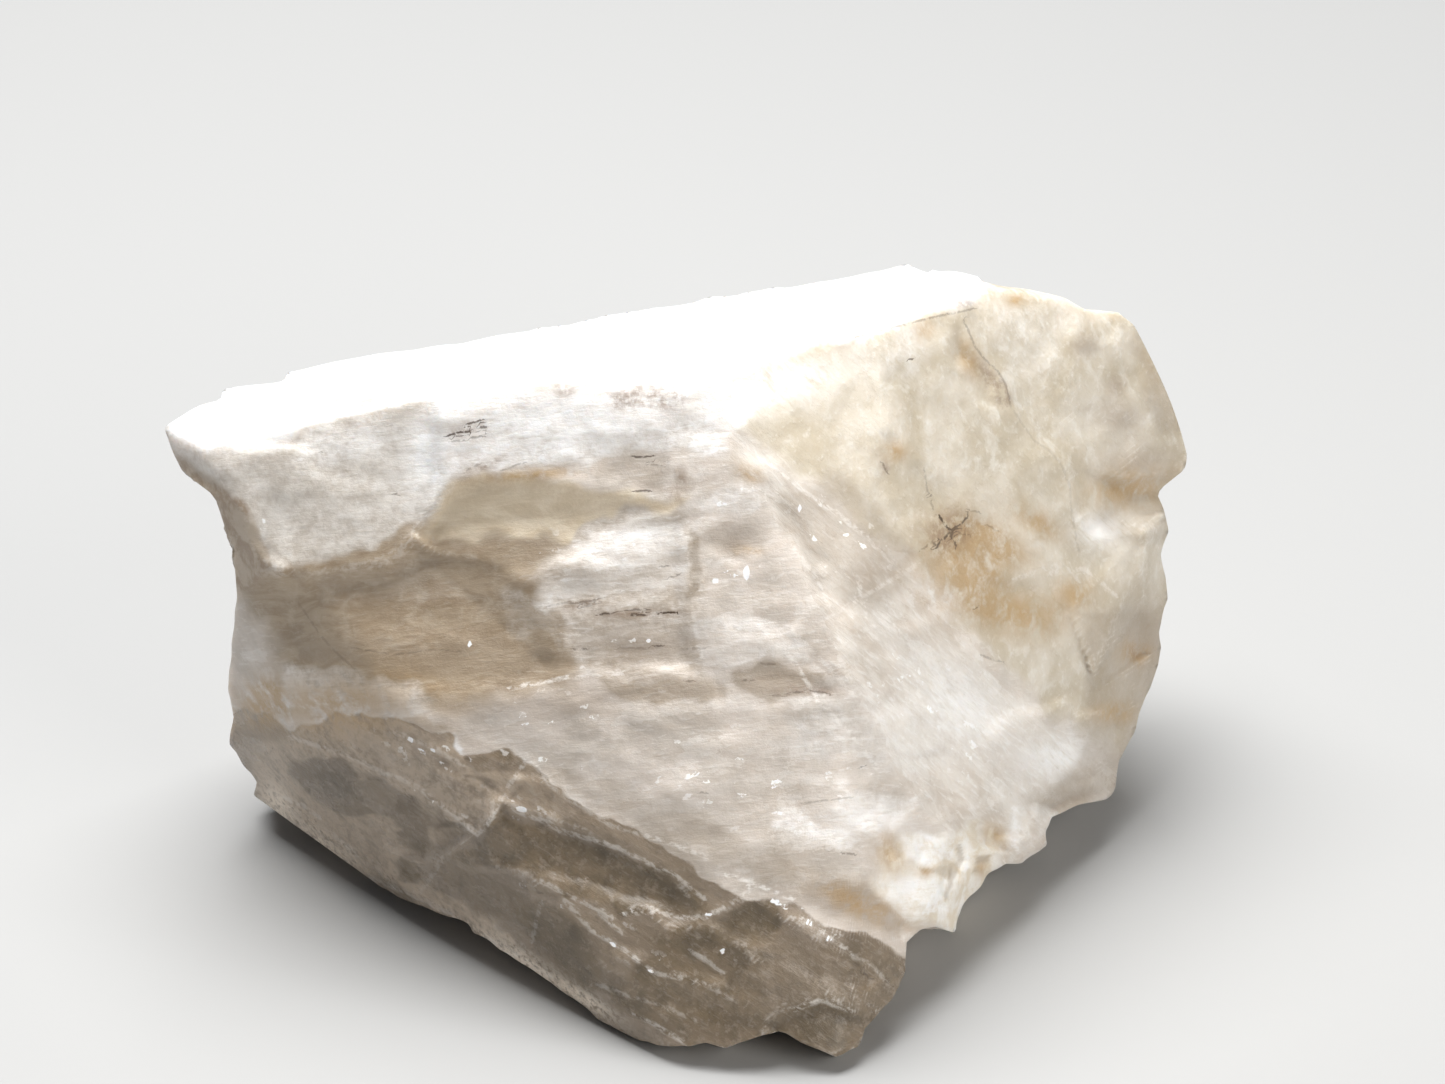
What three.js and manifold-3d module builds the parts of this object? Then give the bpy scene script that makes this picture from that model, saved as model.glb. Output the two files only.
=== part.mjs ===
// Natrolite specimen: one broken mass of white, fibrous crystal with a glassy foot.
//
// Millimetres, +Z up. X runs along the specimen. Its steep fibrous front faces -Y.
// The origin is in the flat cleavage face that it rests on, in the plane z = 0.
//
// The mass is a convex hull of its main corners, trimmed to its broken outline.
// Pockets, ledges and flat chips are then cut from it, and lumps are joined to it.
// Last, its skin is divided into small triangles and bent by a few slow waves.

import * as THREE from 'three';
import { ConvexGeometry } from 'three/addons/geometries/ConvexGeometry.js';
import { TessellateModifier } from 'three/addons/modifiers/TessellateModifier.js';
import { mergeVertices } from 'three/addons/utils/BufferGeometryUtils.js';
import Module from 'manifold-3d';

// ---------------------------------------------------------------- driving dimensions

// The sketch plane leans back from upright through the origin. A place on it is
// [across, up], and a third number is how far out in front of it a point stands.
const SKETCH_LEAN = THREE.MathUtils.degToRad(30);
// The walls of every cut made from a sketch draw in towards one far apex.
const APEX = { across: 2.4, up: 17.5, out: 400 };
// A cut reaches this far out in front of the sketch, or behind it.
const FAR_OUT = 45;
const FAR_BACK = -45;

const CELL = 3.2;           // longest side of a triangle of the skin
const CELL_PASSES = 12;     // enough halvings for the longest face
const FOOT_FADE = 2.5;      // height over which the waves die away towards the base
const WELD = 1e-4;          // vertices nearer than this are one

// Slow waves that take the machined look off the faces: [length, height] of each.
const WAVES = [[17, 0.30], [9.5, 0.20], [5.3, 0.13]];

// ---------------------------------------------------------------- the main corners

// The upper face slopes gently down to the back, from the brow in front to the crest.
const UPPER_FACE = [
  [-28.4, 1.0, 27.0], [-25.0, 3.0, 28.4], [-21.4, 4.0, 29.0], [1.2, 8.0, 31.5],
  [12.8, 10.0, 32.6], [20.8, 12.0, 29.9], [25.2, 12.0, 28.6],
];
const BROW = [
  [-25.9, -3.0, 27.7], [-6.3, -6.2, 34.1], [1.2, -7.2, 34.4],
  [4.0, -5.6, 34.7], [12.0, -1.0, 34.6], [17.1, 6.0, 33.0],
];
const RIGHT_END = [
  [27.9, 11.1, 23.5], [29.0, 11.0, 19.8], [28.0, 9.0, 13.8], [27.3, 6.0, 8.3], [24.6, 0.9, 3.0],
  [20.6, -3.0, 2.4],
];
const LEFT_END = [
  [-27.8, 0.0, 25.0], [-26.0, 3.0, 5.5], [-24.6, 2.4, 2.5], [-24.6, 4.6, 1.0], [-12.4, -10.6, 0.9],
];
// The front comes forward in one blunt ridge, low and right of the middle.
const FRONT = [
  [-21.8, -5.0, 12.0], [-6.4, -16.0, 10.8], [2.3, -19.5, 10.5], [12.0, -18.5, 4.9],
  [9.2, -13.0, 22.9], [15.5, -12.8, 2.0],
];
const BACK = [[-22.0, 11.5, 12.0], [-9.0, 17.0, 13.0], [10.0, 19.0, 15.0], [24.0, 17.0, 13.0]];
const BASE = [
  [-21.0, 7.0, 0.0], [-9.5, -7.0, 0.0], [0.5, -22.4, 0.0], [9.0, -23.2, 0.0], [10.6, -21.6, 0.0],
  [13.0, -8.0, 0.0], [17.5, 2.0, 0.0], [18.0, 12.0, 0.0], [6.0, 16.0, 0.0], [-12.0, 14.0, 0.0],
];

// ---------------------------------------------------------------- sketches: [across, up]

// The broken outline, clockwise from the left tip.
const OUTLINE = [
  [-29.2, 23.8], [-28.6, 24.8], [-26.0, 25.5], [-25.9, 26.2], [-22.4, 26.6], [-22.2, 27.1],
  [-18.7, 27.9], [-7.9, 29.6], [4.0, 31.7], [12.8, 33.2], [15.0, 32.5], [19.8, 31.9],
  [23.0, 30.7], [24.9, 30.6], [26.8, 28.6], [28.1, 25.5], [28.8, 22.7], [28.6, 21.6],
  [27.1, 20.4], [27.7, 18.1], [27.3, 11.9], [25.5, 6.2], [24.7, 3.4], [24.3, 2.9],
  [21.0, 1.9], [20.9, 0.3], [19.3, -0.7], [17.6, -1.3], [15.7, -3.5], [15.6, -4.7],
  [14.5, -4.3], [12.8, -5.1], [12.8, -6.9], [11.9, -8.5], [10.3, -10.2], [10.0, -11.3],
  [8.8, -11.7], [5.7, -10.1], [2.6, -11.2], [-2.3, -10.8], [-4.5, -9.6], [-11.7, -4.6],
  [-19.8, -0.6], [-22.4, 0.9], [-24.2, 3.1], [-24.2, 4.3], [-25.6, 6.0], [-25.6, 9.1],
  [-25.2, 14.2], [-25.3, 17.1], [-26.4, 20.1], [-28.3, 21.5],
];

// Each cut has a sketched edge, and a flat floor through three points [across, up, out].
const CUTS = {
  // The smooth grey ledge between the tip and the pocket.
  leftLedge: {
    edge: [
      [-29.6, 21.4], [-28.6, 26.0], [-14.0, 29.0], [-13.5, 25.0], [-13.3, 20.6], [-14.2, 18.6],
      [-15.6, 16.4], [-17.0, 15.2], [-19.4, 14.8], [-23.2, 14.2], [-25.6, 16.0],
    ],
    floor: [[-24.0, 23.0, 16.75], [-14.0, 24.0, 19.7], [-20.0, 17.4, 17.3]],
  },
  // The broad pocket under the left brow, deepest along its upper rim.
  pocket: {
    edge: [
      [-24.4, 14.9], [-23.2, 16.1], [-19.4, 16.6], [-17.0, 17.0], [-15.4, 18.1], [-14.0, 18.3],
      [-10.2, 17.9], [-7.0, 17.7], [-8.4, 15.6], [-6.6, 13.2], [-6.0, 10.6], [-7.0, 8.4],
      [-14.0, 7.6], [-20.0, 7.6], [-22.8, 9.2], [-23.6, 12.0],
    ],
    floor: [[-21.5, 15.5, 14.9], [-9.2, 17.2, 18.9], [-14.7, 8.2, 17.6]],
  },
  // The shallower pocket above the nose.
  upperPocket: {
    edge: [
      [-15.4, 18.1], [-13.5, 20.6], [-12.0, 21.3], [-8.6, 21.6], [-4.6, 21.0], [-1.6, 20.1],
      [0.5, 19.7], [0.2, 19.2], [-2.6, 19.3], [-4.4, 18.8], [-6.4, 17.8], [-10.0, 17.9], [-14.0, 18.3],
    ],
    floor: [[-13.0, 20.8, 19.6], [0.0, 19.4, 22.2], [-10.0, 18.0, 19.8]],
  },
  // The nose stands back from the block beside it.
  nose: {
    edge: [
      [-8.4, 15.8], [-6.4, 17.7], [-4.4, 18.7], [-2.6, 19.2], [0.3, 19.2], [0.4, 16.4], [0.9, 10.2],
      [-3.0, 9.2], [-6.0, 10.4], [-6.6, 13.2],
    ],
    floor: [[0.4, 18.8, 22.1], [-6.8, 16.6, 20.6], [-1.0, 9.8, 22.2]],
  },
  // A shallow rough patch under the block.
  roughPatch: {
    edge: [[1.5, 9.9], [3.3, 10.6], [5.0, 11.1], [8.2, 10.1], [8.7, 8.9], [7.0, 7.4], [1.6, 7.6]],
    floor: [[1.6, 10.2, 22.1], [8.2, 10.0, 22.0], [5.0, 8.2, 22.5]],
  },
  // The shoulder behind the long crack of the right face, and the groove under it.
  shoulder: {
    edge: [
      [15.6, 34.0], [16.1, 30.0], [17.3, 27.9], [18.7, 25.2], [20.1, 23.2], [21.6, 21.9],
      [22.3, 18.6], [27.0, 19.4], [30.0, 23.0], [30.0, 34.0],
    ],
    floor: [[17.4, 28.9, 12.0], [21.5, 21.5, 8.2], [26.8, 28.0, 2.3]],
  },
  groove: {
    edge: [[21.9, 22.4], [24.9, 20.9], [30.0, 21.2], [30.0, 19.4], [26.6, 17.4], [22.6, 18.0]],
    floor: [[22.0, 21.4, 7.8], [22.8, 18.2, 7.5], [28.0, 20.2, -1.2]],
  },
  // Flat glassy faces of the foot, each one tipped its own way.
  footLeft: {
    edge: [
      [-22.4, 5.6], [-19.0, 5.4], [-15.7, 3.6], [-11.6, 0.9], [-13.6, -0.6], [-17.0, -0.8], [-21.2, 1.5],
    ],
    floor: [[-19.0, 5.3, 12.0], [-12.0, 1.0, 15.5], [-18.0, 0.2, 7.0]],
  },
  footMiddle: {
    edge: [
      [-13.2, -0.1], [-10.8, 1.8], [-10.2, 2.8], [-8.6, 2.4], [-5.4, 1.1], [-0.6, -1.5], [1.4, -3.4],
      [-1.0, -3.8], [-5.0, -2.2], [-9.0, -1.4],
    ],
    floor: [[-8.6, 2.4, 18.6], [0.9, -2.6, 20.9], [-9.4, -1.2, 16.2]],
  },
  footRight: {
    edge: [[1.6, -3.8], [4.2, -2.5], [6.2, -4.2], [5.2, -5.6], [2.8, -5.6]],
    floor: [[1.6, -3.8, 21.0], [4.2, -2.5, 21.4], [4.0, -5.6, 20.4]],
  },
  // The lowest lobe stands back from the foot above it.
  lobe: {
    edge: [[4.8, -9.6], [6.4, -8.8], [8.0, -8.4], [9.4, -8.9], [12.6, -9.4], [12.6, -12.6], [4.6, -12.6]],
    floor: [[5.8, -9.2, 19.5], [11.0, -8.9, 18.1], [8.4, -11.6, 19.9]],
  },
};

// ---------------------------------------------------------------- lumps and back chips

// Blunt lumps along the right border, each the hull of its corners.
const LUMPS = [
  [
    [22.0, 6.0, 18.0], [27.2, 8.0, 17.4], [27.3, 9.0, 12.6],
    [23.0, -0.6, 12.0], [21.6, -1.0, 16.4], [24.0, 12.0, 14.0],
  ],
  [
    [20.4, -2.4, 9.6], [26.6, 5.4, 9.8], [25.0, 3.2, 4.4],
    [19.2, -4.4, 5.2], [17.0, -7.0, 8.6], [21.0, 8.0, 6.0],
  ],
];

// Chips off the sides that face away, as hulls that stand across the surface.
const BACK_CHIPS = [
  [[-32, 4, 30], [-32, 12, 30], [-18, 17, 30], [-32, 4, 16], [-32, 14, 12], [-20, 15.5, 15], [-25, 9, 24]],
  [[-6, 22, 34], [9, 24, 34], [-5, 13.2, 24], [8, 15.4, 25], [-7, 22, 13], [9, 24, 14], [0, 15.6, 16]],
  [[16, 24, 10], [32, 22, 9], [17, 16, 2], [30, 12, -1], [16, 24, -1], [32, 22, -1]],
  [[-16, 22, 8], [2, 24, 8], [-14, 13.5, 3], [0, 15, 3.5], [-16, 22, -1], [2, 24, -1], [-10, 13.0, -1]],
];

// ---------------------------------------------------------------- solids

const wasm = await Module();
wasm.setup();

// A closed three.js geometry as a solid that can be cut and joined.
function solid(geometry) {
  const bare = geometry.index ? geometry.toNonIndexed() : geometry.clone();
  bare.deleteAttribute('normal');
  bare.deleteAttribute('uv');
  const merged = mergeVertices(bare, WELD);
  return new wasm.Manifold(new wasm.Mesh({
    numProp: 3,
    vertProperties: new Float32Array(merged.attributes.position.array),
    triVerts: new Uint32Array(merged.index.array),
  }));
}

// The convex hull of a list of [x, y, z] corners.
function hull(corners) {
  return solid(new ConvexGeometry(corners.map((corner) => new THREE.Vector3(...corner))));
}

// A point of the sketch, in the specimen's own axes.
function fromSketch(across, up, out) {
  const draw = 1 - out / APEX.out;
  const x = APEX.across + (across - APEX.across) * draw;
  const rise = APEX.up + (up - APEX.up) * draw;
  const y = rise * Math.sin(SKETCH_LEAN) - out * Math.cos(SKETCH_LEAN);
  const z = rise * Math.cos(SKETCH_LEAN) + out * Math.sin(SKETCH_LEAN);
  return new THREE.Vector3(x, y, z);
}

// How far out a flat floor stands at a place of the sketch.
function floorThrough(corners) {
  const [a, b, c] = corners.map((corner) => new THREE.Vector3(...corner));
  const plane = new THREE.Plane().setFromCoplanarPoints(a, b, c);
  const { normal, constant } = plane;
  return (across, up) => -(normal.x * across + normal.y * up + constant) / normal.z;
}

// The solid over a sketched edge, from its near floor out to its far end.
function sketched(edge, near, far) {
  const shape = new THREE.Shape(edge.map(([across, up]) => new THREE.Vector2(across, up)));
  const geometry = new THREE.ExtrudeGeometry(shape, { depth: 1, steps: 1, bevelEnabled: false });
  const place = geometry.attributes.position;
  for (let i = 0; i < place.count; i += 1) {
    const across = place.getX(i);
    const up = place.getY(i);
    const out = place.getZ(i) < 0.5 ? near(across, up) : far(across, up);
    const point = fromSketch(across, up, out);
    place.setXYZ(i, point.x, point.y, point.z);
  }
  return solid(geometry);
}

// ---------------------------------------------------------------- the skin

// A slow wave field: each wave pushes a point along the three axes by sines of its place.
function waves(x, y, z) {
  const push = new THREE.Vector3();
  for (const [length, height] of WAVES) {
    const k = (2 * Math.PI) / length;
    push.x += height * Math.sin(k * (0.8 * y + 0.6 * z) + length);
    push.y += height * Math.sin(k * (0.9 * x - 0.5 * z) + 2 * length);
    push.z += height * Math.sin(k * (0.7 * x + 0.7 * y) + 3 * length);
  }
  return push;
}

// The solid's skin in small triangles, bent by the waves; the base stays flat.
function skin(body) {
  const mesh = body.getMesh();
  const geometry = new THREE.BufferGeometry();
  geometry.setAttribute('position', new THREE.BufferAttribute(mesh.vertProperties, 3));
  geometry.setIndex(new THREE.BufferAttribute(mesh.triVerts, 1));
  const fine = new TessellateModifier(CELL, CELL_PASSES).modify(geometry);
  const place = fine.attributes.position;
  for (let i = 0; i < place.count; i += 1) {
    const x = place.getX(i);
    const y = place.getY(i);
    const z = place.getZ(i);
    const push = waves(x, y, z).multiplyScalar(THREE.MathUtils.smoothstep(z, 0, FOOT_FADE));
    place.setXYZ(i, x + push.x, y + push.y, Math.max(z + push.z, 0));
  }
  const welded = mergeVertices(fine, WELD);
  welded.computeVertexNormals();
  return welded;
}

// ---------------------------------------------------------------- the specimen

function specimen() {
  const corners = [UPPER_FACE, BROW, RIGHT_END, LEFT_END, FRONT, BACK, BASE].flat();
  const back = () => FAR_BACK;
  const out = () => FAR_OUT;
  let body = hull(corners);
  for (const lump of LUMPS) {
    body = body.add(hull(lump));
  }
  body = body.intersect(sketched(OUTLINE, back, out));
  for (const { edge, floor } of Object.values(CUTS)) {
    body = body.subtract(sketched(edge, floorThrough(floor), out));
  }
  for (const chip of BACK_CHIPS) {
    body = body.subtract(hull(chip));
  }
  return body;
}

const finish = new THREE.MeshStandardMaterial({ color: 0xe6ddcc, roughness: 0.45, metalness: 0 });
const crystal = new THREE.Mesh(skin(specimen()), finish);
crystal.name = 'natrolite_crystal';

const group = new THREE.Group();
group.add(crystal);

export default group;
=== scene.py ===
import itertools
import math

import bpy
import numpy as np
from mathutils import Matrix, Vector


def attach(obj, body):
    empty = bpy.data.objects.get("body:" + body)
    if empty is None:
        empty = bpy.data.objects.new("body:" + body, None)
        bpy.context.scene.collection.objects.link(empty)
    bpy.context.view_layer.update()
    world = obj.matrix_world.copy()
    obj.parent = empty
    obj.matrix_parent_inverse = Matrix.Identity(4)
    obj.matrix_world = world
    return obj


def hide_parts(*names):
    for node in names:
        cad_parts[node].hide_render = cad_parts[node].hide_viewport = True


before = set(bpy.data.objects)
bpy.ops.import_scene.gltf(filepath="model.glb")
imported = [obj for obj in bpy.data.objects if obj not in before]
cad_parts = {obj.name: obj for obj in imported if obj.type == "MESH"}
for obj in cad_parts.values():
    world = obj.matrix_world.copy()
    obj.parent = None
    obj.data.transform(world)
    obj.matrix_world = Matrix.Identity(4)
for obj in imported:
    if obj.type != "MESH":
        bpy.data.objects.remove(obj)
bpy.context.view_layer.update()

# Natrolite specimen: one broken mass of white, fibrous crystal with a glassy foot.
#
# Shapes are worked out in millimetres, in the frame's own axes, as whole arrays, and go
# into Blender in metres. The sketch plane leans back from upright through the origin:
# a place on it is [across, up], and out is how far in front of it a point stands.

MM = 0.001

# ---------------------------------------------------------------- driving dimensions

SKETCH_LEAN = math.radians(30)
RIGHT = np.array([1.0, 0.0, 0.0])
UP = np.array([0.0, math.sin(SKETCH_LEAN), math.cos(SKETCH_LEAN)])
OUT = np.array([0.0, -math.cos(SKETCH_LEAN), math.sin(SKETCH_LEAN)])
# The walls of every sketched cut draw in towards one far apex.
APEX_ACROSS, APEX_UP, APEX_OUT = 2.4, 17.5, 400.0

# The skin is a square sheet in front, a coarser one behind, and rows of wall between the two.
FRONT_CELLS = 240
BACK_CELLS = FRONT_CELLS // 2
WALL_ROWS = 56
# The square is laid over the outline about this middle, at these half sizes.
MIDDLE = np.array([1.0, 11.0])
HALF = np.array([29.0, 22.5])
LEAST_WALL = 0.25
# How softly the main faces of the front meet.
EDGE_ROUNDING = 0.35
LUMP_ROUNDING = 0.8
# The lumps of the right border swell up from here outwards.
LUMPS_FROM = 21.0

# Slow waves that take the flatness off the faces: length and height of each.
WAVES = [(17.0, 0.30), (9.5, 0.20), (5.3, 0.13)]
FOOT_FADE = 2.5
# Relief and breaks fade out below this height, so that the resting face stays flat.
FLOOR_FADE = 1.2
# The reach of the border is found by this many halvings, and its mean taken over this many points.
HALVINGS = 14
MEAN_WINDOW = 61
OUTLINE_WAVER = 0.10
# The wall's rings stand closer together near the front, by this power.
RING_POWER = 1.25
# How fast the front's relief comes in from the outline, over the half width of the square.
INSET_RATE = 18.0
# Depths behind the front over which the slow waves and the breaks come in and the marks go out.
WAVES_IN, BREAKS_IN, MARKS_OUT = 6.0, 2.0, 3.0
# The bulge of an edge that counts as a full crest.
FULL_CREST = 0.015
# How far the thin lines are put from any place behind the front.
LINES_AWAY = 9.0

# ---------------------------------------------------------------- the main corners

CORNERS = np.array([
    # the upper face
    (-28.4, 1.0, 27.0), (-25.0, 3.0, 28.4), (-21.4, 4.0, 29.0), (1.2, 8.0, 31.5),
    (12.8, 10.0, 32.6), (20.8, 12.0, 29.9), (25.2, 12.0, 28.6),
    # the brow in front of it
    (-25.9, -3.0, 27.7), (-6.3, -6.2, 34.1), (1.2, -7.2, 34.4),
    (4.0, -5.6, 34.7), (12.0, -1.0, 34.6), (17.1, 6.0, 33.0),
    # the right end and the left end
    (27.9, 11.1, 23.5), (29.0, 11.0, 19.8), (28.0, 9.0, 13.8), (27.3, 6.0, 8.3), (24.6, 0.9, 3.0),
    (20.6, -3.0, 2.4),
    (-27.8, 0.0, 25.0), (-26.0, 3.0, 5.5), (-24.6, 2.4, 2.5), (-24.6, 4.6, 1.0), (-12.4, -10.6, 0.9),
    # the front's blunt ridge
    (-21.8, -5.0, 12.0), (-6.4, -16.0, 10.8), (2.3, -19.5, 10.5), (12.0, -18.5, 4.9),
    (9.2, -13.0, 22.9), (15.5, -12.8, 2.0),
    # the back
    (-22.0, 11.5, 12.0), (-9.0, 17.0, 13.0), (10.0, 19.0, 15.0), (24.0, 17.0, 13.0),
    # the base
    (-21.0, 7.0, 0.0), (-9.5, -7.0, 0.0), (0.5, -22.4, 0.0), (9.0, -23.2, 0.0), (10.6, -21.6, 0.0),
    (13.0, -8.0, 0.0), (17.5, 2.0, 0.0), (18.0, 12.0, 0.0), (6.0, 16.0, 0.0), (-12.0, 14.0, 0.0),
])

# Blunt lumps along the right border, each the hull of its corners.
LUMPS = [
    np.array([(22.0, 6.0, 18.0), (27.2, 8.0, 17.4), (27.3, 9.0, 12.6),
              (23.0, -0.6, 12.0), (21.6, -1.0, 16.4), (24.0, 12.0, 14.0)]),
    np.array([(20.4, -2.4, 9.6), (26.6, 5.4, 9.8), (25.0, 3.2, 4.4),
              (19.2, -4.4, 5.2), (17.0, -7.0, 8.6), (21.0, 8.0, 6.0)]),
]

# Chips off the sides that face away, as hulls that stand across the surface.
BACK_CHIPS = [
    np.array([(-32, 4, 30), (-32, 12, 30), (-18, 17, 30), (-32, 4, 16), (-32, 14, 12),
              (-20, 15.5, 15), (-25, 9, 24)]),
    np.array([(-6, 22, 34), (9, 24, 34), (-5, 13.2, 24), (8, 15.4, 25), (-7, 22, 13),
              (9, 24, 14), (0, 15.6, 16)]),
    np.array([(16, 24, 10), (32, 22, 9), (17, 16, 2), (30, 12, -1), (16, 24, -1), (32, 22, -1)]),
    np.array([(-16, 22, 8), (2, 24, 8), (-14, 13.5, 3), (0, 15, 3.5), (-16, 22, -1),
              (2, 24, -1), (-10, 13.0, -1)]),
]

# ---------------------------------------------------------------- sketches: [across, up]

# The broken outline, clockwise from the left tip.
OUTLINE = np.array([
    (-29.2, 23.8), (-29.2, 24.3), (-28.6, 24.8), (-26.9, 25.3), (-26.0, 25.5), (-25.9, 26.2),
    (-22.4, 26.6), (-22.2, 27.1), (-18.7, 27.9), (-13.0, 28.7), (-7.9, 29.6), (-1.7, 30.7),
    (4.0, 31.7), (9.6, 32.5), (12.8, 33.2), (15.0, 32.5), (19.8, 31.9), (21.8, 31.3),
    (23.0, 30.7), (24.9, 30.6), (26.8, 28.6), (28.1, 25.5), (28.8, 22.7), (28.6, 21.6),
    (27.1, 20.4), (27.7, 18.1), (27.3, 16.8), (27.6, 14.2), (27.1, 12.2), (27.3, 11.2), (26.5, 9.1),
    (25.5, 6.2), (24.9, 5.1), (24.7, 3.4), (24.3, 2.9), (22.7, 2.6), (21.0, 1.9), (20.7, 1.2),
    (20.9, 0.3), (19.3, -0.7), (18.4, -0.7), (17.6, -1.3), (16.4, -2.6), (15.7, -3.5),
    (15.6, -4.7), (14.5, -4.3), (13.6, -4.5), (12.8, -5.1), (12.8, -6.9), (11.9, -8.5),
    (10.5, -10.0), (10.2, -11.1), (8.8, -11.7), (6.8, -10.8), (5.7, -10.1), (3.7, -10.8),
    (2.6, -11.2), (1.4, -10.9), (0.6, -11.2), (-2.3, -10.8), (-4.5, -9.6), (-8.5, -6.6),
    (-11.7, -4.6), (-11.9, -4.2), (-15.9, -2.6), (-19.8, -0.6), (-22.4, 0.9), (-24.2, 3.1),
    (-24.0, 3.8), (-24.3, 4.4), (-25.6, 6.0), (-25.4, 7.6), (-25.6, 9.1), (-25.5, 11.8), (-25.2, 14.2),
    (-25.3, 17.1), (-26.4, 20.1), (-28.3, 21.5),
])

# The flat face of the left ledge, cut back to one plane: its sketched edge, three of its points
# (across, up, out), and the width of its wall.
LEDGE_CUT = (
    [(-29.6, 21.4), (-28.6, 26.0), (-14.0, 29.0), (-13.5, 25.0), (-13.3, 22.4), (-13.3, 20.6),
     (-14.2, 18.6),
     (-15.6, 16.4), (-17.0, 15.2), (-19.4, 14.8), (-23.2, 14.2), (-25.6, 16.0)],
    [(-24.0, 23.0, 16.75), (-14.0, 24.0, 19.7), (-20.0, 17.4, 17.3)], 0.9)

# Hollows: a sketched edge, the slopes of the floor, each given by how deep it is at three places
# (across, up, depth), and the width of the wall. The floor is as deep as its shallowest slope.
HOLLOWS = {
    "pocket": (
        [(-25.4, 14.4), (-24.2, 15.4), (-23.2, 16.1), (-19.4, 16.6), (-17.0, 17.0), (-15.4, 18.1),
         (-14.0, 18.3),
         (-10.2, 17.9), (-7.0, 17.7), (-8.4, 15.6), (-7.5, 14.4), (-6.6, 13.2), (-6.0, 10.6), (-7.0, 8.4),
         (-14.0, 7.6), (-20.0, 7.6), (-24.6, 9.2)],
        [[(-20.0, 8.2, 0.0), (-8.0, 8.2, 0.0), (-15.0, 17.2, 1.7)],
         [(-25.0, 9.0, 0.0), (-24.4, 15.5, 0.1), (-18.5, 13.0, 1.7)],
         [(-7.6, 15.6, 0.0), (-5.8, 10.6, 0.0), (-14.0, 13.5, 1.7)]], 2.0),
    "upper pocket": (
        [(-15.4, 18.1), (-14.4, 19.4), (-13.5, 20.6), (-12.0, 21.3), (-8.6, 21.6), (-4.6, 21.0),
         (-1.6, 20.1),
         (0.5, 19.7), (0.2, 18.6), (-2.6, 18.0), (-4.4, 17.0), (-6.4, 15.6), (-10.0, 14.6), (-14.0, 14.8)],
        [[(-9.0, 21.6, 0.0), (-9.0, 18.6, 1.0), (-2.0, 20.4, 0.0)],
         [(-7.0, 19.6, 0.9), (0.0, 19.6, 0.1), (-5.0, 16.6, 0.0)]], 1.2),
    "nose": (
        [(-8.4, 15.8), (-6.4, 17.7), (-4.4, 18.7), (-2.6, 19.2), (0.3, 19.2), (0.4, 16.4), (0.9, 10.2),
         (-3.0, 9.2), (-6.0, 10.4), (-6.6, 13.2)],
        [[(0.5, 18.6, 0.35), (0.6, 12.0, 0.35), (-5.0, 14.6, 0.0)],
         [(-4.0, 9.4, 0.0), (1.0, 9.6, 0.0), (-2.0, 13.0, 0.7)]], 0.9),
    "rough patch": (
        [(1.5, 9.9), (3.3, 10.6), (5.0, 11.1), (6.3, 10.5), (8.2, 10.1), (8.7, 8.9), (7.0, 7.4),
         (1.6, 7.6)],
        [[(1.6, 10.2, 0.16), (8.2, 10.0, 0.16), (5.0, 8.0, 0.0)]], 0.9),
    "shoulder": (
        [(15.6, 34.0), (16.1, 30.0), (17.3, 27.9), (18.5, 26.3), (18.7, 25.2), (20.1, 23.2), (21.6, 21.9),
         (22.3, 18.6), (27.0, 19.4), (30.0, 23.0), (30.0, 34.0)],
        [[(17.4, 28.9, 0.6), (21.5, 21.5, 0.6), (26.8, 28.0, 0.2)]], 0.8),
    "groove": (
        [(21.9, 22.6), (24.9, 21.4), (30.0, 21.8), (30.0, 18.8), (26.6, 17.0), (22.6, 17.6)],
        [[(23.0, 22.4, 0.0), (29.0, 22.0, 0.0), (26.5, 20.2, 1.4)],
         [(23.0, 17.6, 0.0), (28.0, 18.4, 0.0), (26.5, 20.2, 1.4)],
         [(22.0, 20.0, 0.1), (22.6, 18.0, 0.0), (27.0, 20.2, 1.9)]], 0.5),
    "foot left": (
        [(-22.4, 5.6), (-19.0, 5.4), (-15.7, 3.6), (-11.6, 0.9), (-13.6, -0.6), (-17.0, -0.8),
         (-21.2, 1.5)],
        [[(-19.0, 5.3, 0.3), (-12.0, 1.0, 0.5), (-18.0, 0.2, 0.0)]], 0.55),
    "foot middle": (
        [(-13.2, -0.1), (-10.8, 1.8), (-10.2, 2.8), (-8.6, 2.4), (-5.4, 1.1), (-0.6, -1.5), (1.4, -3.4),
         (-1.0, -3.8), (-5.0, -2.2), (-9.0, -1.4)],
        [[(-8.6, 2.4, 0.6), (0.9, -2.6, 0.3), (-9.4, -1.2, 0.1)],
         [(-8.6, -1.4, 0.0), (0.0, -3.8, 0.0), (-5.0, 0.0, 0.7)]], 0.55),
    "foot right": (
        [(1.6, -3.8), (4.2, -2.5), (6.2, -4.2), (5.2, -5.6), (2.8, -5.6)],
        [[(1.6, -3.8, 0.2), (4.2, -2.5, 0.3), (4.0, -5.6, 0.0)]], 0.55),
    "lobe": (
        [(4.8, -9.6), (6.4, -8.8), (8.0, -8.4), (9.4, -8.9), (12.6, -9.4), (12.6, -12.6), (4.6, -12.6)],
        [[(5.8, -9.2, 0.5), (11.0, -8.9, 0.5), (8.4, -11.6, 0.1)]], 0.55),
}


# ---------------------------------------------------------------- small helpers

def smooth(x):
    """A soft step from 0 to 1 as x goes from 0 to 1: three x squared less two x cubed."""
    x = np.clip(x, 0.0, 1.0)
    return x * x * (3.0 - 2.0 * x)


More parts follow.
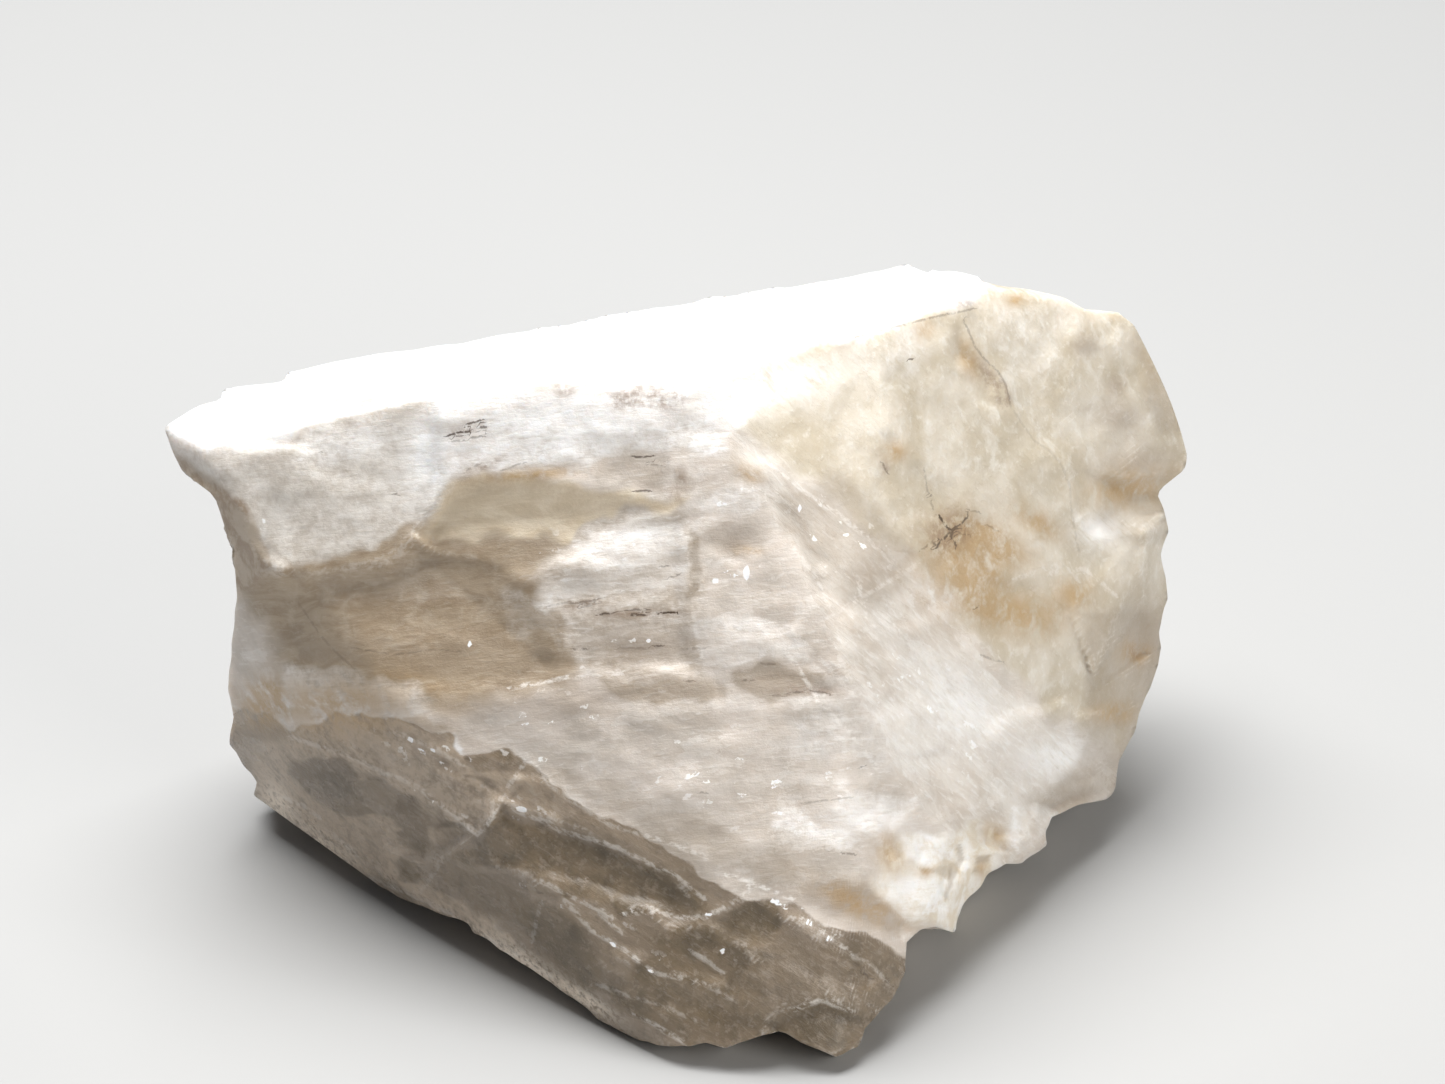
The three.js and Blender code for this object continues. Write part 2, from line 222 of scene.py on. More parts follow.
def from_sketch(across, up, out):
    """Points of the sketch in the frame's axes: across and up shrink towards the apex."""
    draw = 1.0 - np.asarray(out) / APEX_OUT
    x = APEX_ACROSS + (np.asarray(across) - APEX_ACROSS) * draw
    rise = APEX_UP + (np.asarray(up) - APEX_UP) * draw
    return (x[..., None] * RIGHT + rise[..., None] * UP + np.asarray(out)[..., None] * OUT)


def inside(edge, across, up):
    """Signed distance to a closed sketched edge, positive inside: the least distance to its
    segments, with the sign of an even-odd count of the segments that a ray to the right crosses."""
    edge = np.asarray(edge, float)
    nearest = np.full(across.shape, 1e9)
    crossings = np.zeros(across.shape, int)
    for start, end in zip(edge, np.roll(edge, -1, axis=0)):
        run = end - start
        along = ((across - start[0]) * run[0] + (up - start[1]) * run[1]) / (run @ run)
        along = np.clip(along, 0.0, 1.0)
        gap = np.hypot(across - start[0] - along * run[0], up - start[1] - along * run[1])
        nearest = np.minimum(nearest, gap)
        if run[1] != 0.0:
            crosses = (start[1] > up) != (end[1] > up)
            where = start[0] + (up - start[1]) / run[1] * run[0]
            crossings += crosses & (across < where)
    return np.where(crossings % 2 == 1, nearest, -nearest)


def lattice(cell, seed, count):
    """Even random numbers of whole-number cells: a cell's three numbers, times three odd
    numbers, are mixed with the seed, then shifted and multiplied twice for each number."""
    cell = cell.astype(np.int64)
    mixed = (cell[..., 0] * 73856093) ^ (cell[..., 1] * 19349663) ^ (cell[..., 2] * 83492791)
    mixed = mixed ^ (seed * 2654435761)
    drawn = []
    for turn in range(count):
        number = (mixed + turn * 2654435769) & 0xFFFFFFFF
        for _ in range(2):
            number = ((number ^ (number >> 16)) * 73244475) & 0xFFFFFFFF
        drawn.append((number ^ (number >> 16)) / 2.0**32)
    return np.stack(drawn, -1)


def noise(place, seed):
    """Smooth noise from -1 to 1: random numbers on a unit lattice, blended between its corners."""
    cell = np.floor(place)
    part = smooth(place - cell)
    total = 0.0
    for corner in itertools.product((0, 1), repeat=3):
        share = np.prod(np.where(np.array(corner) == 1, part, 1.0 - part), axis=-1)
        total = total + share * lattice(cell + corner, seed, 1)[..., 0]
    return 2.0 * total - 1.0


def rough(place, seed, octaves):
    """Noise on noise: each octave is twice as fine and half as high as the one before."""
    return sum(noise(place * 2.0**k, seed + k) / 2.0**k for k in range(octaves))


def plates(place, seed, tilt, blend):
    """Heights of broken plates: each unit cell has one random site, and a point takes the level
    and the tilt of its nearest site, blended into the next nearest near the border of the two.
    Returns the heights, about -0.5 to 0.5, and how far each point is from a border."""
    base = np.floor(place)
    gaps = np.full((2, len(place)), 1e9)
    levels = np.zeros((2, len(place)))
    for offset in itertools.product((-1, 0, 1), repeat=3):
        cell = base + offset
        draw = lattice(cell, seed, 7)
        away = place - cell - 0.1 - 0.8 * draw[:, :3]
        gap = np.sqrt((away * away).sum(1))
        level = draw[:, 3] - 0.5 + 2.0 * tilt * ((draw[:, 4:7] - 0.5) * away).sum(1)
        first = gap < gaps[0]
        second = ~first & (gap < gaps[1])
        gaps[1] = np.where(first, gaps[0], np.where(second, gap, gaps[1]))
        levels[1] = np.where(first, levels[0], np.where(second, level, levels[1]))
        gaps[0] = np.where(first, gap, gaps[0])
        levels[0] = np.where(first, level, levels[0])
    border = gaps[1] - gaps[0]
    share = 0.5 + 0.5 * smooth(border / blend)
    return levels[0] * share + levels[1] * (1.0 - share), border


# ---------------------------------------------------------------- depths along the sight lines

def hull_planes(corners):
    """The outer planes of a convex hull: of the planes through every three corners, those with
    all corners on one side. Returns their outward normals and their distances from the origin."""
    corners = np.asarray(corners, float)
    first, second, third = np.array(list(itertools.combinations(range(len(corners)), 3))).T
    normal = np.cross(corners[second] - corners[first], corners[third] - corners[first])
    length = np.linalg.norm(normal, axis=1)
    sound = length > 1e-6
    normal = normal[sound] / length[sound, None]
    height = (normal * corners[first[sound]]).sum(1)
    side = normal @ corners.T - height[:, None]
    outer = (side <= 1e-6).all(1)
    inner = (side >= -1e-6).all(1)
    normal = np.concatenate([normal[outer], -normal[inner]])
    height = np.concatenate([height[outer], -height[inner]])
    kept = np.unique(np.round(np.column_stack([normal, height]), 7), axis=0)
    return kept[:, :3], kept[:, 3]


def hull_span(corners, across, up, rounding=0.0):
    """The outs at which the sight line of a sketched place enters and leaves a convex hull: a
    place moves in a straight line as its out grows, so each plane is crossed at one out. The
    front is the least crossing of the planes that face the apex, the back the greatest of
    those that face away. With a rounding, the least is a soft one: less the rounding times the
    logarithm of the sum of e to the minus how much farther each plane is, over the rounding."""
    normal, height = hull_planes(corners)
    start = from_sketch(across, up, np.zeros_like(across))
    run = from_sketch(across, up, np.ones_like(across)) - start
    speed = run @ normal.T
    reach = (height - start @ normal.T) / np.where(np.abs(speed) < 1e-9, 1e-9, speed)
    back = np.where(speed < 0, reach, -1e9).max(1)
    reach = np.where(speed > 0, reach, 1e9)
    front = reach.min(1)
    if rounding:
        front = front - rounding * np.log(np.exp((front[:, None] - reach) / rounding).sum(1))
    return front, back


def plane_level(floor, across, up):
    """The out of the flat plane through three points [across, up, out]."""
    a, b, c = np.array(floor)
    normal = np.cross(b - a, c - a)
    return a[2] - (normal[0] * (across - a[0]) + normal[1] * (up - a[1])) / normal[2]


def bare_span(across, up):
    """The bare mass along each sight line: the hull of the corners with its lumps, less the
    chips behind, and the ledge and the hollows in front."""
    front, back = hull_span(CORNERS, across, up, EDGE_ROUNDING)
    for lump in LUMPS:
        near, far = hull_span(lump, across, up)
        meets = near > far
        lift = LUMP_ROUNDING * np.log1p(np.exp((near - front) / LUMP_ROUNDING))
        lift = lift * smooth((across - LUMPS_FROM) / 4.0)
        front = np.where(meets, front + lift, front)
        back = np.where(meets, np.minimum(back, far), back)
    for chip in BACK_CHIPS:
        near, far = hull_span(chip, across, up)
        cut = (near > far) & (near > back) & (far <= back + 0.5)
        back = np.where(cut, near, back)
    edge, floor, wall = LEDGE_CUT
    share = smooth(inside(edge, across, up) / wall)
    cut = np.maximum(front - plane_level(floor, across, up), 0.0) * share
    for edge, slopes, wall in HOLLOWS.values():
        share = smooth(inside(edge, across, up) / wall)
        depth = np.min([plane_level(slope, across, up) for slope in slopes], axis=0)
        cut = np.maximum(cut, depth * share)
    return front - cut, back


# ---------------------------------------------------------------- the grid of the skin

def square_sheet(cells):
    """A square grid of (cells + 1) squared points from -1 to 1, their numbers, its quads, and the
    numbers round its border, counterclockwise."""
    line = np.linspace(-1.0, 1.0, cells + 1)
    s, t = np.meshgrid(line, line, indexing="ij")
    number = np.arange((cells + 1) ** 2).reshape(cells + 1, cells + 1)
    quads = np.stack([number[:-1, :-1], number[1:, :-1], number[1:, 1:], number[:-1, 1:]], -1)
    border = np.concatenate([number[:-1, 0], number[-1, :-1], number[:0:-1, -1], number[0, :0:-1]])
    return np.stack([s.ravel(), t.ravel()], 1), quads.reshape(-1, 4), border


def skin_grid():
    """The closed grid: the front sheet, the back sheet turned over, and the wall's rings. Where
    the wall meets the finer front border, three triangles fill each of its cells. Returns each
    point's place on the square, its share of the way back, and the faces as four corner
    numbers, a triangle repeating its last."""
    front_place, front_quads, front_border = square_sheet(FRONT_CELLS)
    back_place, back_quads, back_border = square_sheet(BACK_CELLS)
    ring_place = np.tile(back_place[back_border], (WALL_ROWS - 1, 1))
    shares = (np.arange(1, WALL_ROWS) / WALL_ROWS) ** RING_POWER
    back_start = len(front_place)
    ring_start = back_start + len(back_place)
    ring_size = len(back_border)
    rings = ring_start + np.arange((WALL_ROWS - 1) * ring_size).reshape(-1, ring_size)
    rings = np.concatenate([rings, back_start + back_border[None]])

    first, middle = front_border[0::2], front_border[1::2]
    last = np.roll(first, -1)
    near, beside = rings[0], np.roll(rings[0], -1)
    fans = np.concatenate([
        np.stack([first, near, middle, middle], 1),
        np.stack([middle, near, beside, beside], 1),
        np.stack([middle, beside, last, last], 1),
    ])
    upper, lower = rings[:-1], rings[1:]
    walls = np.stack([upper, lower, np.roll(lower, -1, 1), np.roll(upper, -1, 1)], -1).reshape(-1, 4)
    faces = np.concatenate([front_quads, back_start + back_quads[:, ::-1], fans, walls])
    place = np.concatenate([front_place, back_place, ring_place])
    share = np.concatenate([np.zeros(len(front_place)), np.ones(len(back_place)),
                            np.repeat(shares, ring_size)])
    return place, share, faces


def outline_reach(heading):
    """How far it is from the middle to the broken outline along each heading: the nearest of
    the crossings with its segments."""
    reach = np.full(len(heading), 1e9)
    for a, b in zip(OUTLINE, np.roll(OUTLINE, -1, axis=0)):
        run = b - a
        cross = heading[:, 0] * run[1] - heading[:, 1] * run[0]
        cross = np.where(np.abs(cross) < 1e-12, 1e-12, cross)
        to_a = a - MIDDLE
        distance = (to_a[0] * run[1] - to_a[1] * run[0]) / cross
        part = (to_a[0] * heading[:, 1] - to_a[1] * heading[:, 0]) / cross
        met = (distance > 0) & (part >= -1e-9) & (part <= 1 + 1e-9)
        reach = np.where(met & (distance < reach), distance, reach)
    return reach


def lay_out(place):
    """The sketched place of each point of the square: its place times the half sizes, times a
    stretch that brings the border onto the outline, or as far out as the mass is still thick
    enough. The stretch of the border fades inwards into its own running mean."""
    turn = np.linspace(-math.pi, math.pi, 4 * FRONT_CELLS + 1)[:-1]
    edge = np.stack([np.cos(turn), np.sin(turn)], 1)
    edge = edge / np.abs(edge).max(1)[:, None] * HALF
    length = np.linalg.norm(edge, axis=1)
    heading = edge / length[:, None]
    reach = outline_reach(heading)
    reach = reach + OUTLINE_WAVER * noise(np.stack([MIDDLE[0] + heading[:, 0] * 30.0, heading[:, 1] * 30.0,
                                           np.zeros(len(turn))], 1), 61)
    thin, thick = reach, 0.7 * reach
    for _ in range(HALVINGS):
        radius = 0.5 * (thin + thick)
        front, back = bare_span(*(MIDDLE[:, None] + heading.T * radius))
        full = front - back > LEAST_WALL
        thick = np.where(full, radius, thick)
        thin = np.where(full, thin, radius)
    reach = thick
    stretch = reach / length
    window = np.hanning(MEAN_WINDOW)
    side = MEAN_WINDOW // 2
    wrapped = np.concatenate([stretch[-side:], stretch, stretch[:side]])
    mean = np.convolve(wrapped, window / window.sum(), "valid")

    angle = np.arctan2(place[:, 1], place[:, 0])
    rim = np.interp(angle, turn, stretch, period=2.0 * math.pi)
    inner = np.interp(angle, turn, mean, period=2.0 * math.pi)
    radius = np.abs(place).max(1)
    spread = place * HALF * (inner + (rim - inner) * radius**4)[:, None]
    return MIDDLE[0] + spread[:, 0], MIDDLE[1] + spread[:, 1], radius


def face_normals(points, faces):
    """Each point's unit normal: the sum of the cross products of the diagonals of its faces."""
    first, second, third, fourth = points[faces].transpose(1, 0, 2)
    cross = np.cross(third - first, fourth - second)
    total = np.zeros_like(points)
    for corner in range(4):
        for axis in range(3):
            total[:, axis] += np.bincount(faces[:, corner], cross[:, axis], len(points))
    return total / np.linalg.norm(total, axis=1)[:, None]


def neighbour_mean(values, faces):
    """The mean of each point's neighbours along the edges of its faces."""
    total = np.zeros_like(values)
    count = np.zeros(len(values))
    for corner in range(4):
        here, there = faces[:, corner], faces[:, (corner + 1) % 4]
        for a, b in ((here, there), (there, here)):
            count += np.bincount(a, minlength=len(values))
            for axis in range(values.shape[1]):
                total[:, axis] += np.bincount(a, values[b, axis], len(values))
    return total / count[:, None]


def wave_push(points):
    """Slow waves: each pushes a point along the three axes by sines of its place."""
    x, y, z = points.T
    push = np.zeros_like(points)
    for length, height in WAVES:
        k = 2.0 * math.pi / length
        push[:, 0] += height * np.sin(k * (0.8 * y + 0.6 * z) + length)
        push[:, 1] += height * np.sin(k * (0.9 * x - 0.5 * z) + 2 * length)
        push[:, 2] += height * np.sin(k * (0.7 * x + 0.7 * y) + 3 * length)
    return push * smooth(z / FOOT_FADE)[:, None]


def add_mesh(name, points, faces):
    """A mesh object of quads and triangles, its points given in millimetres."""
    kept = np.ones(faces.shape, bool)
    kept[:, 3] = faces[:, 2] != faces[:, 3]
    size = kept.sum(1)
    mesh = bpy.data.meshes.new(name)
    mesh.vertices.add(len(points))
    mesh.vertices.foreach_set("co", (points * MM).astype(np.float32).ravel())
    mesh.loops.add(int(size.sum()))
    mesh.loops.foreach_set("vertex_index", faces[kept].astype(np.int32))
    mesh.polygons.add(len(faces))
    mesh.polygons.foreach_set("loop_start", (np.cumsum(size) - size).astype(np.int32))
    mesh.update(calc_edges=True)
    mesh.validate()
    mesh.shade_smooth()
    made = bpy.data.objects.new(name, mesh)
    bpy.context.scene.collection.objects.link(made)
    return made


# ---------------------------------------------------------------- sketched features

# Raised or sunk panels of the front: a sketched edge, then how far its middle moves out, how
# much more it does so per millimetre across and up, and the width of its wall.
PANELS = {
    "left end": ([(-29.6, 22.6), (-28.6, 22.6), (-26.6, 21.2), (-24.9, 20.0), (-23.9, 17.6), (-22.9, 16.0),
                  (-24.6, 14.4), (-27.5, 15.0), (-29.6, 19.0)], -0.4, 0.35, 0.0, 0.9),
    "ledge swelling": ([(-25.0, 19.8), (-23.2, 20.2), (-21.6, 19.9), (-20.4, 21.0), (-21.2, 22.6),
                        (-23.6, 22.9),
                        (-26.0, 21.9)], 0.22, 0.0, 0.05, 0.5),
    "ledge lower lip": ([(-23.2, 16.2), (-21.4, 16.4), (-19.4, 16.6), (-17.2, 17.0), (-16.2, 17.7),
                         (-17.2, 18.4),
                         (-20.0, 18.0), (-22.4, 18.0)], 0.08, 0.0, -0.04, 0.9),
    "brow block": ([(-6.9, 27.0), (-6.6, 24.4), (-4.2, 23.6), (-0.4, 23.8), (0.3, 25.2), (0.2, 27.2)],
                   0.14, 0.0, -0.06, 0.4),
    "grey hollow": ([(-5.2, 22.4), (-4.6, 20.8), (-1.2, 20.4), (-0.6, 21.4), (-0.9, 22.8), (-3.4, 23.0)],
                    -0.15, 0.0, 0.0, 0.6),
    "nose crown": ([(-8.0, 15.9), (-5.8, 17.2), (-3.4, 18.6), (-0.4, 19.0), (0.3, 18.2), (0.2, 16.9),
                    (-3.4, 16.2), (-5.6, 15.6)], 0.16, 0.0, -0.10, 0.9),
    "nose lower": ([(-6.3, 13.0), (0.7, 13.2), (0.8, 10.6), (-1.0, 10.1), (-5.4, 10.2), (-6.1, 11.0)],
                   -0.10, 0.0, 0.05, 0.3),
    "block side": ([(0.2, 19.6), (1.4, 19.2), (1.3, 15.5), (1.7, 13.0), (1.0, 12.4), (0.7, 10.2),
                    (0.1, 12.0),
                    (0.3, 16.0)], -0.04, 0.20, 0.0, 0.8),
    "block dent": ([(2.2, 18.3), (4.3, 18.2), (4.6, 16.7), (2.6, 16.6)], -0.15, 0.0, 0.10, 0.6),
    "block lower": ([(0.9, 12.6), (2.6, 12.4), (6.4, 12.8), (8.0, 10.2), (5.0, 11.1), (3.2, 10.6),
                     (1.3, 10.2)],
                    0.08, 0.0, 0.04, 0.8),
    "under step": ([(-2.6, 10.2), (1.2, 10.0), (2.2, 8.6), (2.5, 6.9), (-2.6, 6.6)], 0.10, 0.0, 0.0, 0.4),
    "ridge crest": ([(3.2, 23.9), (4.6, 22.7), (7.1, 20.5), (10.6, 17.8), (13.6, 15.4), (12.4, 14.2),
                     (9.4, 15.8), (6.4, 18.2), (3.6, 21.4)], 0.05, 0.03, 0.03, 1.2),
    "ridge inner": ([(6.0, 12.8), (8.3, 10.5), (11.2, 7.3), (12.9, 5.1), (15.2, 5.6), (13.6, 8.6),
                     (10.8, 12.6), (8.4, 16.0)], 0.18, 0.0, 0.0, 0.3),
    "ridge outer": ([(11.7, 12.9), (14.0, 10.9), (17.0, 8.0), (19.2, 5.0), (21.0, 6.0), (18.2, 10.4),
                     (15.0, 13.6)], 0.18, 0.0, 0.0, 0.4),
    "cream slab": ([(10.8, 28.4), (15.6, 29.6), (17.2, 27.0), (18.8, 23.6), (20.8, 21.6), (20.0, 19.6),
                    (16.4, 19.0), (14.2, 21.4), (11.2, 24.4)], 0.22, 0.0, 0.0, 0.7),
    "rusty nook": ([(15.9, 29.6), (16.8, 28.0), (17.9, 27.0), (18.6, 25.4), (17.6, 25.6), (16.4, 26.6),
                    (15.6, 28.2)], -0.45, 0.2, 0.0, 0.4),
    "slab right": ([(17.4, 18.8), (21.0, 18.4), (22.4, 16.2), (20.6, 15.0), (17.8, 15.6)],
                   0.25, 0.0, 0.0, 0.6),
    "low white band": ([(18.0, 7.4), (22.6, 8.6), (25.0, 6.6), (24.8, 3.6), (21.0, 3.0), (18.4, 4.2)],
                       0.30, 0.0, 0.10, 0.5),
    "far foot": ([(20.9, 3.0), (22.6, 3.5), (24.9, 3.9), (24.6, 2.0), (20.6, 1.0)], -0.7, 0.0, 0.5, 0.25),
    "glassy block": ([(18.5, 2.4), (19.6, 2.0), (20.7, 2.2), (21.2, 0.2), (20.0, 0.0), (19.2, 1.0)],
                     0.45, 0.25, -0.3, 0.2),
    "yellow hollow": ([(16.8, 1.4), (17.8, 1.5), (18.7, 0.6), (18.0, 0.0), (17.2, 0.2)],
                      -0.6, 0.0, 0.2, 0.25),
    "shard": ([(17.9, 0.1), (19.8, 0.6), (20.0, -0.2), (18.6, -1.2), (17.6, -1.5)], 0.0, 0.1, 0.4, 0.2),
    "small knob": ([(15.2, -1.0), (16.4, -0.2), (17.6, -0.9), (16.8, -2.4), (15.6, -3.8), (15.0, -2.8)],
                   0.35, -0.1, 0.0, 0.25),
    "spike": ([(14.6, -3.4), (15.2, -3.2), (16.2, -5.2), (14.2, -4.8)], 0.30, 0.0, 0.0, 0.2),
    "cream knob": ([(10.8, -2.2), (12.2, 0.8), (13.0, 1.4), (14.0, 0.8), (15.0, -0.9), (14.9, -3.0),
                    (13.2, -2.8)],
                   0.12, 0.04, -0.06, 1.2),
    "beige slope": ([(7.2, -1.7), (9.2, -1.9), (11.2, -2.6), (12.6, -3.5), (14.2, -4.4), (12.8, -5.3),
                     (10.0, -4.4), (7.0, -3.2)], -0.25, 0.0, 0.15, 0.4),
    # the glassy foot
    "foot a": ([(-23.4, 5.6), (-20.6, 5.7), (-18.6, 5.1), (-15.2, 3.2), (-12.0, 1.0), (-13.4, -0.2),
                (-16.4, 0.0),
                (-19.4, 1.6), (-22.6, 3.4)], 0.05, 0.00, 0.06, 0.50),
    "foot b": ([(-22.4, 6.6), (-19.6, 6.2), (-15.4, 4.2), (-11.8, 1.4), (-10.9, 2.5), (-10.2, 3.4),
                (-13.4, 5.0),
                (-17.0, 6.9), (-20.0, 7.4)], -0.04, 0.00, 0.11, 0.50),
    "foot c": ([(-18.8, 7.4), (-16.2, 7.7), (-13.2, 6.2), (-12.4, 4.6), (-14.4, 5.2), (-17.4, 6.6)],
               -0.11, 0.00, 0.05, 0.50),
    "foot d": ([(-10.4, 2.7), (-8.6, 2.2), (-5.4, 1.1), (-0.4, -1.6), (1.4, -3.4), (-1.0, -3.6),
                (-4.6, -2.0),
                (-8.6, -1.2), (-13.2, -0.1), (-11.4, 1.0)], -0.09, 0.00, 0.11, 0.50),
    "foot e": ([(-9.9, 4.0), (-8.2, 4.9), (-4.2, 1.9), (0.2, 0.1), (3.0, -2.5), (1.8, -3.3), (-0.8, -1.4),
                (-5.6, 1.2), (-9.2, 2.6)], 0.04, 0.00, 0.05, 0.50),
    "foot f": ([(1.8, -3.8), (4.2, -2.6), (6.0, -4.2), (5.0, -5.4), (3.0, -5.4)], -0.09, 0.00, 0.11, 0.50),
    "foot g": ([(6.0, -3.4), (8.0, -4.4), (10.4, -6.2), (9.6, -7.8), (7.6, -7.2), (5.8, -5.2)],
               0.02, 0.04, 0.13, 0.50),
    "foot h": ([(2.6, -5.6), (5.0, -5.6), (7.4, -7.4), (9.6, -8.2), (8.0, -8.5), (6.4, -8.9), (4.2, -8.0)],
               0.04, 0.00, 0.07, 0.50),
    "foot i": ([(-12.6, -0.4), (-8.6, -1.4), (-6.2, -3.4), (-4.8, -5.8), (-7.6, -5.6), (-11.2, -3.4)],
               -0.02, 0.04, 0.07, 0.50),
    "foot j": ([(-17.0, -0.4), (-13.4, -0.4), (-12.2, -2.2), (-11.6, -3.6), (-15.4, -2.0)],
               -0.05, 0.00, 0.07, 0.50),
    "foot k": ([(-3.0, -3.6), (1.2, -3.8), (2.8, -5.4), (3.6, -7.8), (0.2, -6.4), (-2.4, -5.6)],
               -0.05, 0.00, 0.09, 0.50),
    "foot l": ([(-4.6, -6.2), (-2.4, -6.0), (0.4, -6.8), (3.4, -8.4), (3.0, -9.6), (0.0, -8.6),
                (-3.6, -7.6)], 0.02, 0.00, 0.09, 0.50),
    "bottom rim": ([(-12.4, -4.4), (-11.0, -4.0), (-6.6, -6.6), (-3.0, -8.9), (0.8, -10.4), (1.0, -11.8),
                    (-3.4, -11.0), (-8.6, -7.6)], 0.13, 0.00, 0.09, 0.50),
    "left foot rim": ([(-24.8, 3.6), (-23.0, 4.0), (-21.4, 2.4), (-19.6, 0.8), (-20.4, -0.8), (-23.0, 0.8)],
                      0.09, 0.00, 0.07, 0.50),
    "pit": ([(10.2, -7.0), (10.7, -6.8), (11.2, -7.3), (10.8, -7.6)], -0.5, 0.0, 0.0, 0.25),
}

# Zones with a grain or a finish of their own: a sketched edge and how softly it ends.
FOOT = [(-27.0, 8.0), (-24.4, 8.2), (-22.2, 6.9), (-20.0, 7.3), (-18.2, 7.6), (-16.0, 7.8), (-13.4, 6.4),
        (-12.5, 5.3), (-9.6, 5.7), (-8.0, 4.6), (-6.4, 2.9), (-4.2, 1.8), (-1.6, 1.0), (-0.2, 0.0),
        (2.8, -2.3), (5.0, -2.6), (6.8, -3.3), (9.2, -4.6), (11.2, -5.3), (14.0, -6.4), (13.5, -12.5),
        (-5.0, -12.5), (-30.0, 0.0)]
RIGHT_FACE = [(3.4, 24.2), (5.4, 22.4), (8.6, 20.1), (10.8, 18.0), (13.6, 16.2), (16.8, 12.0), (20.4, 8.4),
              (24.8, 5.6), (32.0, 5.0), (32.0, 34.0), (14.0, 34.0), (10.4, 29.2), (4.6, 27.6)]
TOP_FACE = [(-29.6, 24.2), (-27.6, 23.3), (-26.5, 22.6), (-22.4, 23.2), (-21.4, 24.4), (-20.2, 25.3),
            (-17.8, 26.0), (-15.6, 26.3), (-10.0, 26.8), (-5.0, 27.2), (0.0, 27.5), (3.0, 27.6),
            (5.5, 28.3), (8.0, 28.8), (10.0, 29.2), (12.0, 29.8), (14.0, 30.3), (17.0, 31.0), (17.6, 36.0),
            (-30.0, 36.0)]
LEDGE = [(-28.4, 22.4), (-26.4, 22.6), (-22.4, 23.0), (-21.4, 24.2), (-20.0, 25.1), (-17.8, 25.8),
         (-15.7, 26.0),
         (-14.4, 24.0), (-13.6, 22.6), (-13.3, 20.7), (-14.4, 19.6), (-15.6, 18.2), (-17.0, 17.1),
         (-19.4, 16.6), (-21.4, 16.3), (-23.0, 16.0), (-23.9, 17.6), (-24.9, 20.0), (-26.6, 21.2)]
POCKET = [(-25.2, 14.6), (-24.0, 16.6), (-19.4, 17.5), (-15.2, 18.9), (-14.0, 18.4), (-10.0, 18.0),
          (-6.6, 17.9), (-8.0, 15.6), (-6.2, 13.2), (-5.4, 10.6), (-6.4, 9.2), (-12.0, 8.4),
          (-19.3, 8.6), (-22.6, 9.4), (-23.2, 12.0)]
UPPER_POCKET = [(-15.0, 17.9), (-13.4, 20.6), (-12.0, 21.2), (-10.6, 21.6), (-8.0, 21.0), (-5.4, 20.9),
                (-2.0, 20.0), (0.2, 19.8), (-0.4, 19.3), (-2.6, 19.3), (-4.4, 18.8), (-6.4, 17.8),
                (-10.0, 17.7)]
NOSE = [(-8.6, 15.6), (-6.4, 17.8), (-4.4, 18.8), (-2.6, 19.3), (0.3, 19.3), (1.6, 16.4), (1.4, 9.6),
        (-3.0, 9.0), (-5.6, 10.4), (-6.5, 13.2)]
RIDGE = [(3.3, 23.8), (4.6, 22.7), (8.4, 20.0), (10.6, 17.8), (13.4, 16.2), (16.6, 11.6), (20.4, 7.6),
         (24.8, 4.2), (24.4, 2.6), (20.9, 0.6), (18.4, -0.9), (16.0, -0.2), (13.4, 3.0), (11.4, 6.6),
         (9.6, 9.8), (8.0, 13.0), (6.4, 17.0), (4.6, 20.6), (3.0, 22.6)]
KNOB = [(10.8, -2.0), (12.4, 1.2), (14.4, 1.0), (17.0, 1.6), (18.6, 1.0), (17.6, -1.6), (15.8, -5.2),
        (12.4, -3.4)]
ZONES = {
    "foot": (FOOT, 1.2), "right": (RIGHT_FACE, 1.4), "top": (TOP_FACE, 0.6), "ledge": (LEDGE, 0.4),
    "pocket": (POCKET, 1.6), "upper": (UPPER_POCKET, 0.6), "nose": (NOSE, 0.5),
    "end": (PANELS["left end"][0], 0.5), "ridge": (RIDGE, 1.2), "knob": (KNOB, 0.8),
}
